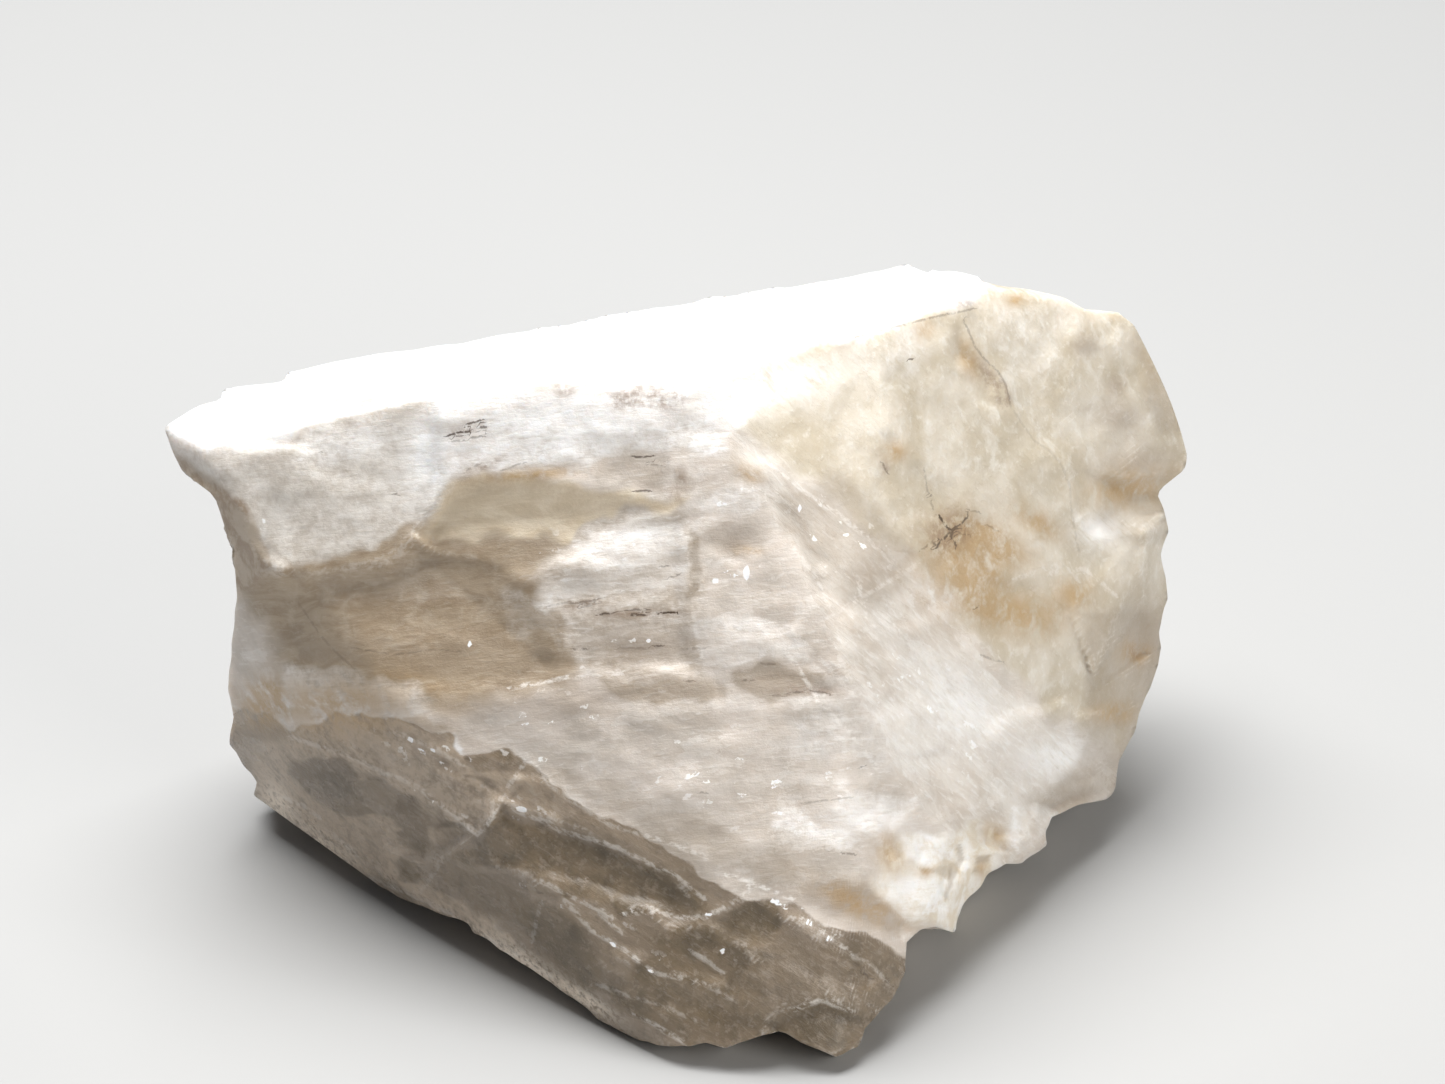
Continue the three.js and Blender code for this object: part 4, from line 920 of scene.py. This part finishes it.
GLINTS = [((-4.4, 17.4), (3.4, 1.2), 12), ((2.6, 20.4), (1.8, 1.2), 0), ((3.0, 15.6), (1.6, 0.8), 0),
          ((-14.6, 6.2), (1.8, 0.8), -25), ((-9.0, 2.3), (1.2, 0.4), -10), ((-5.6, -2.6), (3.2, 0.8), -18),
          ((7.0, -4.0), (2.6, 0.6), -38), ((-1.4, -7.0), (2.6, 0.8), -15), ((9.0, 17.6), (2.6, 1.6), -40),
          ((-4.0, 11.6), (2.4, 1.4), 0), ((14.0, 8.0), (5.0, 2.0), -42),
          ((-24.0, 18.8), (0.7, 0.5), 0), ((-10.0, 24.8), (3.0, 1.0), 8), ((-8.0, 6.5), (6.0, 2.0), 4),
          ((4.0, 4.0), (6.0, 2.4), -6), ((2.4, -5.7), (0.8, 0.4), 0), ((-14.0, 2.4), (3.0, 0.5), -28)]

# Places broken into small blocks and splinters.
CRUMBLED = [((12.6, 0.6), (3.0, 3.4), 30), ((15.6, -1.0), (1.8, 3.0), -30), ((18.4, 1.8), (3.0, 1.4), 30),
            ((21.6, 4.2), (3.4, 1.6), 20)]

# Single bright facets that catch the light.
SPARKS = [((-9.0, 2.35), (0.42, 0.20), -15), ((-15.3, 6.3), (0.30, 0.16), -30),
          ((2.4, -5.7), (0.24, 0.18), 0),
          ((7.3, -4.1), (0.40, 0.16), -40), ((8.4, -5.0), (0.26, 0.16), -30),
          ((5.4, -2.9), (0.50, 0.18), -25),
          ((3.75, 15.75), (0.24, 0.55), 0), ((2.0, 15.3), (0.22, 0.22), 0), ((3.0, 15.6), (0.16, 0.20), 0),
          ((-23.6, 18.7), (0.22, 0.16), 0), ((-11.9, 11.7), (0.16, 0.26), 0),
          ((-3.8, -5.3), (0.30, 0.14), -40),
          ((1.6, -3.6), (0.30, 0.14), -20), ((-14.0, 5.7), (0.24, 0.12), -30),
          ((9.4, 17.9), (0.20, 0.14), 0),
          ((6.8, 19.4), (0.14, 0.30), 0), ((-1.8, 11.9), (0.20, 0.14), 0), ((-5.0, 17.0), (0.30, 0.14), 20)]


# ---------------------------------------------------------------- fine relief

def spot(across, up, centre, radii, turn=0.0):
    """A soft round mask about a centre, in a frame turned by an angle in degrees: e to the
    minus squared distance, with distance counted in radii."""
    c, s = math.cos(math.radians(turn)), math.sin(math.radians(turn))
    da, du = across - centre[0], up - centre[1]
    return np.exp(-((da * c + du * s) / radii[0]) ** 2 - ((du * c - da * s) / radii[1]) ** 2)


def spots(places, across, up):
    """The sum of several spots, at most 1."""
    return np.minimum(sum(spot(across, up, *place) for place in places), 1.0)


def ruffled(across, up, size, seed):
    """Sketched places shaken by noise on noise, so that an edge drawn through them comes out
    ragged."""
    place = np.stack([across / size, up / size, np.zeros_like(across)], 1)
    return across + 0.3 * size * rough(place, seed, 2), up + 0.3 * size * rough(place, seed + 7, 2)


def turned(across, up, degrees):
    """The place along and beside a line that rises to the right by an angle."""
    c, s = math.cos(math.radians(degrees)), math.sin(math.radians(degrees))
    return across * c + up * s, up * c - across * s


def zones(across, up):
    """A soft mask for each zone of the sketch: its signed distance over its border's width,
    plus a half, with a soft step laid over it except on the foot. The tone is the sum of the
    patches' masks times their amounts."""
    ragged_across, ragged_up = ruffled(across, up, 1.3, 71)

    def slope(edge, width):
        return np.clip(inside(edge, ragged_across, ragged_up) / width + 0.5, 0.0, 1.0)

    masks = {name: slope(edge, width) for name, (edge, width) in ZONES.items()}
    masks = {name: mask if name == "foot" else smooth(mask) for name, mask in masks.items()}
    tone = sum(amount * smooth(slope(edge, width)) for amount, width, edge in TONES)
    masks["tone"] = np.clip(tone, *TONE_RANGE)
    return masks


# The rise to the right of the grain of each zone, in degrees, in front of the rest at 4 degrees.
GRAIN = {"foot": -33.0, "ridge": -42.0, "right": -38.0, "pocket": 6.0, "top": 8.0}
GRAIN_ELSEWHERE = 4.0


def front_relief(across, up, masks, points):
    """How far the front moves out at each sketched place. Panels tip and lift by their own flat
    levels. Broken plates run along the grain of each zone: long splinters in the white fibres,
    steeper ones on the ridge, flat facets on the foot, lumps on the right face and steps on top."""
    x, y, z = points.T
    ragged_across, ragged_up = ruffled(across, up, 1.6, 73)
    softness = noise(np.stack([across / 2.6, up / 2.6, np.zeros_like(across)], 1), 74)
    softness = 1.0 + 1.6 * smooth(0.5 + softness)
    height = np.zeros_like(across)
    for edge, lift, tip_across, tip_up, wall in PANELS.values():
        middle = np.mean(edge, axis=0)
        level = lift + tip_across * (across - middle[0]) + tip_up * (up - middle[1])
        height += level * smooth(inside(edge, ragged_across, ragged_up) / (softness * wall) + 0.5)

    def grained(zone, length, width, seed, tilt, blend):
        along, beside = turned(across, up, GRAIN.get(zone, GRAIN_ELSEWHERE))
        place = np.stack([along / length, beside / width, np.full_like(along, 0.5)], 1)
        return plates(place, seed, tilt, blend)[0]

    smoothed = np.maximum.reduce([masks["ledge"], masks["pocket"], masks["upper"], masks["end"]])
    plain = 1.0 - np.maximum.reduce([masks["foot"], masks["right"], masks["top"], masks["ridge"], smoothed])
    swell = rough(np.stack([across / 6.5, up / 3.6, z / 9.0], 1), 13, 3)
    fine = rough(np.stack([across / 0.9, up / 0.7, z / 2.0], 1), 18, 2)
    height += plain * (0.10 * grained("", 7.0, 1.7, 11, 0.6, 0.3)
                       + 0.05 * grained("", 3.0, 0.9, 12, 0.8, 0.4) + 0.20 * swell + 0.05 * fine)
    height += smoothed * (0.16 * swell + 0.08 * grained("pocket", 6.0, 1.6, 14, 0.5, 0.4)
                          + 0.04 * fine)
    height += masks["ridge"] * (0.16 * grained("ridge", 7.0, 1.2, 16, 0.5, 0.3)
                                + 0.06 * grained("ridge", 3.5, 0.6, 17, 0.5, 0.4)
                                + 0.15 * swell + 0.05 * fine)
    clear = 1.0 + 0.8 * np.minimum(masks["tone"], 0.0)
    height += masks["foot"] * (clear * (0.10 * grained("foot", 5.5, 1.3, 21, 1.4, 0.3)
                                        + 0.06 * grained("foot", 2.4, 0.7, 22, 1.6, 0.3)) + 0.05 * fine)
    crumbled = spots(CRUMBLED, across, up)
    height += crumbled * (0.42 * plates(points / 1.7, 35, 0.9, 0.25)[0] + 0.12 * rough(points / 0.8, 36, 2))
    lumps = rough(points / 3.4, 31, 3)
    cobbles = plates(points / 3.2, 32, 0.6, 0.5)[0]
    border = smooth((across - 19.0) / 6.0)
    height += masks["right"] * ((0.14 + 0.20 * border) * lumps + (0.16 + 0.55 * border) * cobbles
                                + 0.05 * rough(points / 0.9, 33, 2))
    steps = plates(np.stack([x / 12.0, y / 1.8, z / 3.0], 1), 41, 0.3, 0.12)[0]
    height += masks["top"] * (0.35 * steps + 0.10 * rough(points / 1.5, 42, 2))
    return height


def away_relief(points):
    """How far the sides that face away are broken in: coarse plates, smaller chips and lumps."""
    broken = plates(points / np.array([6.5, 4.5, 5.0]), 51, 0.9, 0.07)[0]
    chips = plates(points / 2.1, 52, 0.7, 0.12)[0]
    fine = rough(points / 1.2, 54, 2)
    lumps = rough(points / 4.0, 53, 2)
    return -0.15 - 1.1 * (broken + 0.5) - 0.30 * (chips + 0.5) + 0.20 * lumps + 0.05 * fine


# ---------------------------------------------------------------- the specimen

def line_field(lines, across, up):
    """For many thin open lines at once, each place's signed distance to the nearest, with the
    sign of the side it lies on, its plain distance, and that line's own strength."""
    nearest = np.full(across.shape, 1e9)
    side = np.ones(across.shape)
    strength = np.zeros(across.shape)
    for amount, line in lines:
        for (a, b), (c, d) in zip(line[:-1], line[1:]):
            run_across, run_up = c - a, d - b
            along = ((across - a) * run_across + (up - b) * run_up) / (run_across**2 + run_up**2)
            along = np.clip(along, 0.0, 1.0)
            away_across = across - a - along * run_across
            away_up = up - b - along * run_up
            gap = np.hypot(away_across, away_up)
            closer = gap < nearest
            side = np.where(closer, np.sign((across - a) * run_up - (up - b) * run_across), side)
            strength = np.where(closer, amount, strength)
            nearest = np.minimum(nearest, gap)
    return np.stack([nearest * side, nearest, strength], 1)


def store(mesh, name, values):
    """A named value of each point: one number, or three."""
    kind, field = ("FLOAT", "value") if values.ndim == 1 else ("FLOAT_VECTOR", "vector")
    mesh.attributes.new(name, kind, "POINT").data.foreach_set(field, values.astype(np.float32).ravel())


def specimen():
    """The whole skin. Each place of the grid is laid on the sketch and pushed out to the front
    of the bare mass, to its back, or a share of the way between. The front then gets its relief
    along the sight lines, fading at the outline, and the rest is bent by the slow waves and
    broken in along its normals."""
    place, share, faces = skin_grid()
    across, up, radius = lay_out(place)
    front, back = bare_span(across, up)
    back = np.minimum(back, front - LEAST_WALL)
    out = front + (back - front) * share
    points = from_sketch(across, up, out)
    masks = zones(across, up)
    facing = share == 0.0

    inset = smooth((1.0 - radius) * INSET_RATE)
    relief = np.zeros_like(out)
    relief[facing] = front_relief(across[facing], up[facing], {k: m[facing] for k, m in masks.items()},
                                  points[facing])
    relief = neighbour_mean(relief[:, None], faces)[:, 0]
    above_floor = smooth(points[:, 2] / FLOOR_FADE)
    points = from_sketch(across, up, out + np.where(facing, relief * inset, 0.0) * above_floor)

    behind = ~facing
    depth = (front - out) * behind
    bent = points + wave_push(points) * smooth(depth / WAVES_IN)[:, None]
    normals = face_normals(bent, faces)
    broken = np.zeros_like(out)
    broken[behind] = away_relief(bent[behind])
    points = bent + (broken * smooth(depth / BREAKS_IN) * above_floor)[:, None] * normals
    points[:, 2] = np.maximum(points[:, 2], 0.0)

    crystal = add_mesh("natrolite_specimen", points, faces)
    normals = face_normals(points, faces)
    bulge = ((points - neighbour_mean(points, faces)) * normals).sum(1)[:, None]
    for _ in range(2):
        bulge = neighbour_mean(bulge, faces)
    store(crystal.data, "crest", np.clip(bulge[:, 0] / FULL_CREST, -1.0, 1.0))
    for name, mask in masks.items():
        store(crystal.data, name, mask)
    for name, places in {"ochre": OCHRE, "rust": RUST, "smudge_and_shade": SMUDGES_AND_SHADE, "white": WHITE_AND_HIGHLIGHTS, "murk_and_shade": MURK_AND_SHADE,
                         "glints": GLINTS, "sparks": SPARKS}.items():
        store(crystal.data, name, spots(places, across, up) * smooth(1.0 - depth / MARKS_OUT))
    behind_lines = np.array([0.0, 1.0, 0.0]) * (LINES_AWAY * smooth(depth / BREAKS_IN))[:, None]
    store(crystal.data, "dark_lines", line_field(DARK_LINES, across, up) + behind_lines)
    store(crystal.data, "pale_lines", line_field(PALE_LINES, across, up) + behind_lines)
    store(crystal.data, "sketch", np.stack([across, up, out], 1))
    return crystal


crystal = specimen()


# ---------------------------------------------------------------- finishes

class Strand:
    """One number, colour or vector on its way through a finish. Sums, differences and products of
    strands, or of strands and numbers, add Math nodes."""

    def __init__(self, bench, socket):
        self.bench = bench
        self.socket = socket

    def __add__(self, other):
        return self.bench.join("ADD", self, other)

    def __radd__(self, other):
        return self.bench.join("ADD", other, self)

    def __sub__(self, other):
        return self.bench.join("SUBTRACT", self, other)

    def __rsub__(self, other):
        return self.bench.join("SUBTRACT", other, self)

    def __mul__(self, other):
        return self.bench.join("MULTIPLY", self, other)

    def __rmul__(self, other):
        return self.bench.join("MULTIPLY", other, self)


class Bench:
    """A finish being made: a material, and one way to add any node to it."""

    def __init__(self, name):
        self.material = bpy.data.materials.new(name)
        self.material.use_nodes = True
        self.tree = self.material.node_tree
        self.shader = self.tree.nodes["Principled BSDF"]

    def join(self, operation, first, second):
        return self.node("ShaderNodeMath", {"operation": operation}, {0: first, 1: second})

    def node(self, kind, settings, inputs, output=0):
        """Adds a node, sets its settings, then fills or links its inputs; gives one output."""
        made = self.tree.nodes.new(kind)
        for name, value in settings.items():
            setattr(made, name, value)
        self.fill(made, inputs)
        return Strand(self, made.outputs[output])

    def fill(self, made, inputs):
        for name, value in inputs.items():
            if isinstance(value, Strand):
                self.tree.links.new(value.socket, made.inputs[name])
            else:
                made.inputs[name].default_value = value

    def mark(self, name):
        """A number stored on the skin."""
        return self.node("ShaderNodeAttribute", {"attribute_name": name}, {}, "Fac")

    def triple(self, name):
        """Three numbers stored on the skin, as three strands."""
        vector = self.node("ShaderNodeAttribute", {"attribute_name": name}, {}, "Vector")
        parts = self.node("ShaderNodeSeparateXYZ", {}, {0: vector}).socket.node
        return [Strand(self, parts.outputs[k]) for k in range(3)]

    def fibres(self, foot, slant):
        """Places along, beside and below the fibres, in millimetres: the sketched place turned by
        the grain's angle, which is one on the foot, one on the slanting ridge and one elsewhere."""
        across, up, out = self.triple("sketch")
        turns = (GRAIN_ELSEWHERE, GRAIN["foot"], GRAIN["ridge"])
        level, steep, slanting = (math.radians(turn) for turn in turns)
        foot = self.join("GREATER_THAN", foot, 0.5)
        slant = self.join("GREATER_THAN", slant, 0.5) * (1.0 - foot)
        cosine = (math.cos(level) + (math.cos(steep) - math.cos(level)) * foot
                  + (math.cos(slanting) - math.cos(level)) * slant)
        sine = (math.sin(level) + (math.sin(steep) - math.sin(level)) * foot
                + (math.sin(slanting) - math.sin(level)) * slant)
        return self.node("ShaderNodeCombineXYZ", {}, {
            "X": across * cosine + up * sine, "Y": up * cosine - across * sine, "Z": out})

    def stretched(self, place, along, beside, deep):
        """A place, times a scale for each axis."""
        return self.node("ShaderNodeVectorMath", {"operation": "MULTIPLY"},
                         {0: place, 1: (along, beside, deep)})

    def place(self, scale):
        """Places on the object, in millimetres times a scale."""
        spot = self.node("ShaderNodeTexCoord", {}, {}, "Object")
        return self.node("ShaderNodeVectorMath", {"operation": "SCALE"}, {0: spot, "Scale": scale / MM})

    def noise(self, vector, detail=4.0, roughness=0.55, distortion=0.0):
        return self.node("ShaderNodeTexNoise", {"noise_dimensions": "3D"},
                         {"Vector": vector, "Scale": 1.0, "Detail": detail, "Roughness": roughness,
                          "Distortion": distortion})

    def cells(self, vector, shake):
        """A random number for each flake: the cell of the nearest of scattered sites, with the
        place shaken by a noise so that the borders run ragged."""
        moved = self.node("ShaderNodeVectorMath", {"operation": "ADD"}, {0: vector, 1: shake})
        colour = self.node("ShaderNodeTexVoronoi", {"voronoi_dimensions": "3D"},
                           {"Vector": moved, "Scale": 1.0}, "Color")
        return self.node("ShaderNodeSeparateColor", {}, {0: colour})

    def ramp(self, value, low, high):
        """0 below low, 1 above high, and a soft step between."""
        return self.node("ShaderNodeMapRange", {"interpolation_type": "SMOOTHSTEP", "clamp": True},
                         {"Value": value, "From Min": low, "From Max": high, "To Min": 0.0, "To Max": 1.0})

    def blend(self, share, first, second):
        """A colour part of the way from the first to the second."""
        return self.node("ShaderNodeMix", {"data_type": "RGBA", "clamp_factor": True},
                         {0: share, 6: first, 7: second}, 2)


def paint(red, green, blue):
    """A colour given as it looks, from 0 to 255 each, as the linear light that shaders take."""
    shares = np.array([red, green, blue]) / 255.0
    light = np.where(shares <= 0.04045, shares / 12.92, ((shares + 0.055) / 1.055) ** 2.4)
    return (*light.tolist(), 1.0)


def thin_lines(bench, name, width, waver):
    """The strength of a kind of thin line: its own on the line, nothing past its width. The
    signed distance is near nothing there, and the plain one is short, which keeps out the
    places where only the sign turns over. A noise makes the line waver."""
    signed, near, strength = bench.triple(name)
    away = bench.join("ABSOLUTE", signed + (waver - 0.5) * 0.3, 0.0)
    return (1.0 - bench.ramp(away, width * 0.3, width)) * (1.0 - bench.ramp(near, 0.20, 0.32)) * strength


def crystal_finish():
    """White to cream fibres, beige hollows, a grey glassy foot, and rusty and sooty marks, with
    painted highlights, reflections, light and shade.
    """
    bench = Bench("natrolite_crystal_finish")
    ramp, blend, mark = bench.ramp, bench.blend, bench.mark
    right, top, crest, ridge = mark("right"), mark("top"), mark("crest"), mark("ridge")

    cloud = bench.noise(bench.place(0.25), 4.0, 0.6, 0.3)
    mottle = bench.noise(bench.place(0.8), 4.0, 0.62, 0.4)
    grit = bench.noise(bench.place(2.6), 4.0, 0.65)
    foot = ramp(mark("foot") + (grit - 0.5) * 0.3, 0.40, 0.60)
    fibres = bench.fibres(foot, bench.join("MAXIMUM", ridge, right))
    streak = bench.noise(bench.stretched(fibres, 0.32, 0.9, 0.3), 5.0, 0.64, 0.8)
    hair = bench.noise(bench.stretched(fibres, 1.0, 4.2, 0.7), 4.0, 0.66, 0.5)
    slab = bench.cells(bench.stretched(fibres, 0.27, 0.52, 0.3), cloud + mottle)
    flake = bench.cells(bench.stretched(fibres, 0.45, 1.3, 0.4), mottle + grit)
    chip = bench.cells(bench.stretched(fibres, 2.0, 4.0, 1.0), grit)

    def shades(share, dark, light):
        return blend(share, paint(*dark), paint(*light))

    # the white fibres
    colour = shades(ramp(cloud, 0.38, 0.62), (196, 187, 177), (215, 206, 197))
    colour = blend(ramp(streak, 0.46, 0.66) * 0.35, colour, paint(200, 187, 174))
    colour = blend(ramp(flake, 0.60, 0.95) * 0.25, colour, paint(240, 237, 233))
    colour = blend(ramp(hair, 0.52, 0.68) * 0.26, colour, paint(246, 243, 240))
    colour = blend(ramp(1.0 - hair, 0.54, 0.70) * 0.12, colour, paint(176, 162, 148))
    # the creamy right face and the white ridge before it
    cream = shades(ramp(cloud, 0.36, 0.64), (198, 187, 167), (219, 211, 197))
    cream = blend(ramp(mottle, 0.50, 0.70) * 0.40, cream, paint(240, 238, 232))
    cream = blend(ramp(1.0 - mottle, 0.54, 0.72) * 0.30, cream, paint(196, 183, 160))
    cream = blend(ramp(grit, 0.54, 0.70) * 0.25, cream, paint(244, 242, 238))
    colour = blend(right, colour, cream)
    white = shades(ramp(streak, 0.40, 0.66), (232, 227, 219), (208, 198, 186))
    white = blend(ramp(flake, 0.6, 1.0) * 0.3, white, paint(248, 245, 241))
    white = blend(ramp(hair, 0.53, 0.66) * 0.4, white, paint(250, 249, 247))
    colour = blend(ridge * 0.6, colour, white)
    # the hollows, the nose, the smooth ledge and the left end
    deep = shades(ramp(streak, 0.40, 0.64), (156, 138, 115), (176, 159, 137))
    deep = blend(ramp(mottle, 0.50, 0.70) * 0.4, deep, paint(194, 181, 164))
    deep = blend(ramp(hair, 0.54, 0.68) * 0.2, deep, paint(210, 200, 186))
    colour = blend(mark("pocket"), colour, deep)
    hollow = shades(ramp(streak, 0.38, 0.64), (208, 192, 166), (224, 211, 189))
    colour = blend(mark("upper") * 0.9, colour, hollow)
    pale = shades(ramp(streak * 0.6 + grit * 0.4, 0.40, 0.62), (216, 208, 199), (190, 178, 164))
    pale = blend(ramp(hair, 0.53, 0.66) * 0.4, pale, paint(246, 244, 242))
    pale = blend(ramp(1.0 - hair, 0.54, 0.68) * 0.3, pale, paint(166, 152, 137))
    colour = blend(mark("nose"), colour, pale)
    smooth_grey = ramp(mottle * 0.6 + grit * 0.4, 0.36, 0.64)
    smooth_grey = shades(smooth_grey, (197, 189, 179), (224, 219, 212))
    colour = blend(mark("ledge") * 0.9, colour, smooth_grey)
    # the left end: partly its darker brown, partly painted shade on its side turned from the light
    patchy = ramp(mottle, 0.40, 0.60)
    colour = blend(mark("end") * 0.9, colour, shades(patchy, (158, 138, 116), (184, 170, 152)))
    colour = blend(mark("knob") * 0.7, colour, shades(patchy, (226, 214, 192), (246, 243, 236)))
    # grey smudges, and painted shade in dents and under overhangs
    colour = blend(mark("smudge_and_shade") * 0.6, colour, paint(164, 150, 136))
    whitened = mark("white") * ramp(streak * 0.5 + hair * 0.5, 0.30, 0.56)
    colour = blend(whitened * 0.8, colour, paint(251, 250, 249))
    # tone patches: partly the mineral's own tone, partly painted shade and painted light
    tone = mark("tone")
    darker, lighter = ramp(-1.0 * tone, 0.0, 1.0), ramp(tone, 0.0, 1.0)
    colour = blend(darker * (0.5 + mottle * 0.5), colour, paint(152, 137, 118))
    speckle = ramp(grit * 0.4 + hair * 0.3 + mottle * 0.3, 0.38, 0.60)
    colour = blend(lighter * (0.3 + 0.7 * speckle) * 0.8, colour, paint(251, 250, 249))
    # the glassy foot
    glass = shades(slab * 0.5 + mottle * 0.5, (115, 101, 84), (161, 146, 128))
    glass = blend(ramp(flake, 0.55, 1.0) * 0.35, glass, paint(170, 157, 144))
    # the dark facets and spots of the foot: the dark of the clear glass, with painted shade and painted
    # dark reflections
    dark_glass_and_shade = shades(ramp(mottle, 0.35, 0.65), (103, 90, 70), (130, 114, 92))
    glass = blend(darker * 0.8, glass, dark_glass_and_shade)
    glass = blend(mark("murk_and_shade") * 0.5, glass, paint(90, 80, 65))
    # painted light on the foot: a pale sheen of reflections, and light where the surface turns under
    painted_light_and_sheen = lighter * (0.35 + 0.65 * ramp(streak * 0.5 + grit * 0.5, 0.38, 0.58))
    glass = blend(painted_light_and_sheen * 0.62, glass, paint(210, 192, 172))
    glass = blend(ramp(hair, 0.54, 0.68) * 0.22, glass, paint(186, 176, 165))
    glass = blend(ramp(grit, 0.52, 0.66) * 0.26, glass, paint(178, 167, 155))
    glass = blend(ramp(1.0 - hair, 0.56, 0.70) * 0.18, glass, paint(84, 74, 61))
    glass = blend(ramp(1.0 - mottle, 0.54, 0.68) * 0.30, glass, paint(98, 87, 73))
    # painted highlights along the convex edges
    edge_glint = ramp(crest, 0.30, 1.0)
    glass = blend(edge_glint * ramp(grit, 0.44, 0.60) * 0.12, glass, paint(214, 206, 197))
    # painted highlights along the lower rim of the foot, where the surface turns under
    rim = mark("white") * ramp(grit, 0.34, 0.56)
    glass = blend(rim * 0.8, glass, paint(252, 238, 220))
    colour = blend(foot, colour, glass)
    # painted highlights along convex edges, the top, and stains
    colour = blend(edge_glint * ramp(grit, 0.40, 0.6) * 0.20, colour, paint(250, 248, 245))
    colour = blend(top * 0.9, colour, paint(243, 243, 243))
    ochre = mark("ochre") * ramp(mottle * 0.7 + grit * 0.3, 0.32, 0.58)
    colour = blend(ochre * 0.8, colour, paint(180, 148, 100))
    rust = mark("rust") * ramp(grit * 0.6 + mottle * 0.4, 0.40, 0.58)
    colour = blend(rust * 0.6, colour, paint(146, 120, 98))
    # thin lines and glints; the pale lines are partly painted glints along fractures
    broken = ramp(hair * 0.5 + grit * 0.5, 0.42, 0.56)
    pale_line = thin_lines(bench, "pale_lines", 0.20, grit) * broken * (0.75 - 0.35 * foot)
    colour = blend(pale_line, colour, paint(240, 236, 231))
    dark_line = thin_lines(bench, "dark_lines", 0.09, grit) * ramp(grit, 0.36, 0.50)
    colour = blend(dark_line, colour, paint(84, 70, 56))
    glint = ramp(chip, 0.96, 0.975) * ramp(grit, 0.47, 0.53) * mark("glints")
    colour = blend(glint, colour, paint(255, 255, 255))
    colour = blend(ramp(mark("sparks"), 0.45, 0.6), colour, paint(252, 253, 255))

    gloss = 0.48 - 0.12 * foot - 0.12 * ramp(flake, 0.4, 0.9)
    coat = 0.10 - 0.04 * foot
    rise = hair * 0.40 + streak * 0.35 + grit * 0.45 + flake * 0.10 + chip * 0.06
    bump = bench.node("ShaderNodeBump", {}, {"Strength": 0.45, "Distance": 0.30 * MM, "Height": rise})
    bench.fill(bench.shader, {
        "Base Color": colour, "Roughness": gloss, "Coat Weight": coat, "Normal": bump,
        "Subsurface Weight": 0.6, "Subsurface Scale": 1.2 * MM, "Subsurface Radius": (1.0, 0.88, 0.75),
        "IOR": 1.48, "Coat Roughness": 0.10,
    })
    return bench.material


crystal.data.materials.append(crystal_finish())
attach(crystal, "root")
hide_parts("natrolite_crystal")


# ---------------------------------------------------------------- floor, light and camera

def pale_floor():
    """A plain pale floor, wide enough to fill the view."""
    bench = Bench("pale_floor")
    bench.fill(bench.shader, {"Base Color": paint(172, 172, 171), "Roughness": 0.7})
    bpy.ops.mesh.primitive_plane_add(size=4.0, location=(0, 0, 0))
    floor = bpy.context.object
    floor.name = "floor"
    floor.data.materials.append(bench.material)


def area_light(name, place, size, power, colour=(1.0, 1.0, 1.0)):
    """A square soft light at a place, in millimetres, turned to face the specimen's middle."""
    data = bpy.data.lights.new(name, "AREA")
    data.size = size * MM
    data.energy = power
    data.color = colour
    made = bpy.data.objects.new(name, data)
    bpy.context.scene.collection.objects.link(made)
    made.location = np.array(place) * MM
    away = made.location - Vector((0.0, 0.0, 15.0 * MM))
    made.rotation_euler = away.to_track_quat("Z", "Y").to_euler()


def room(colour, strength):
    """Even light from all round."""
    world = bpy.data.worlds.new("room")
    world.use_nodes = True
    background = world.node_tree.nodes["Background"]
    background.inputs["Color"].default_value = (*colour, 1.0)
    background.inputs["Strength"].default_value = strength
    bpy.context.scene.world = world


pale_floor()
area_light("overhead", (-40, 60, 330), 260, 2.3)
area_light("front_fill", (230, -240, 170), 200, 0.7, (1.0, 0.97, 0.92))
room((0.92, 0.94, 1.0), 0.16)
bpy.context.scene.view_settings.view_transform = "Standard"

CAMERA_FIELD = 81.92
SENSOR = 36.0
camera_data = bpy.data.cameras.new("camera")
camera_data.sensor_width = SENSOR
camera_data.lens = SENSOR * APEX_OUT / CAMERA_FIELD
camera_data.clip_start = 0.01
camera_data.clip_end = 10.0
camera = bpy.data.objects.new("camera", camera_data)
bpy.context.scene.collection.objects.link(camera)
camera.location = (APEX_ACROSS * RIGHT + APEX_UP * UP + APEX_OUT * OUT) * MM
camera.rotation_euler = (math.pi / 2 - SKETCH_LEAN, 0.0, 0.0)
bpy.context.scene.camera = camera
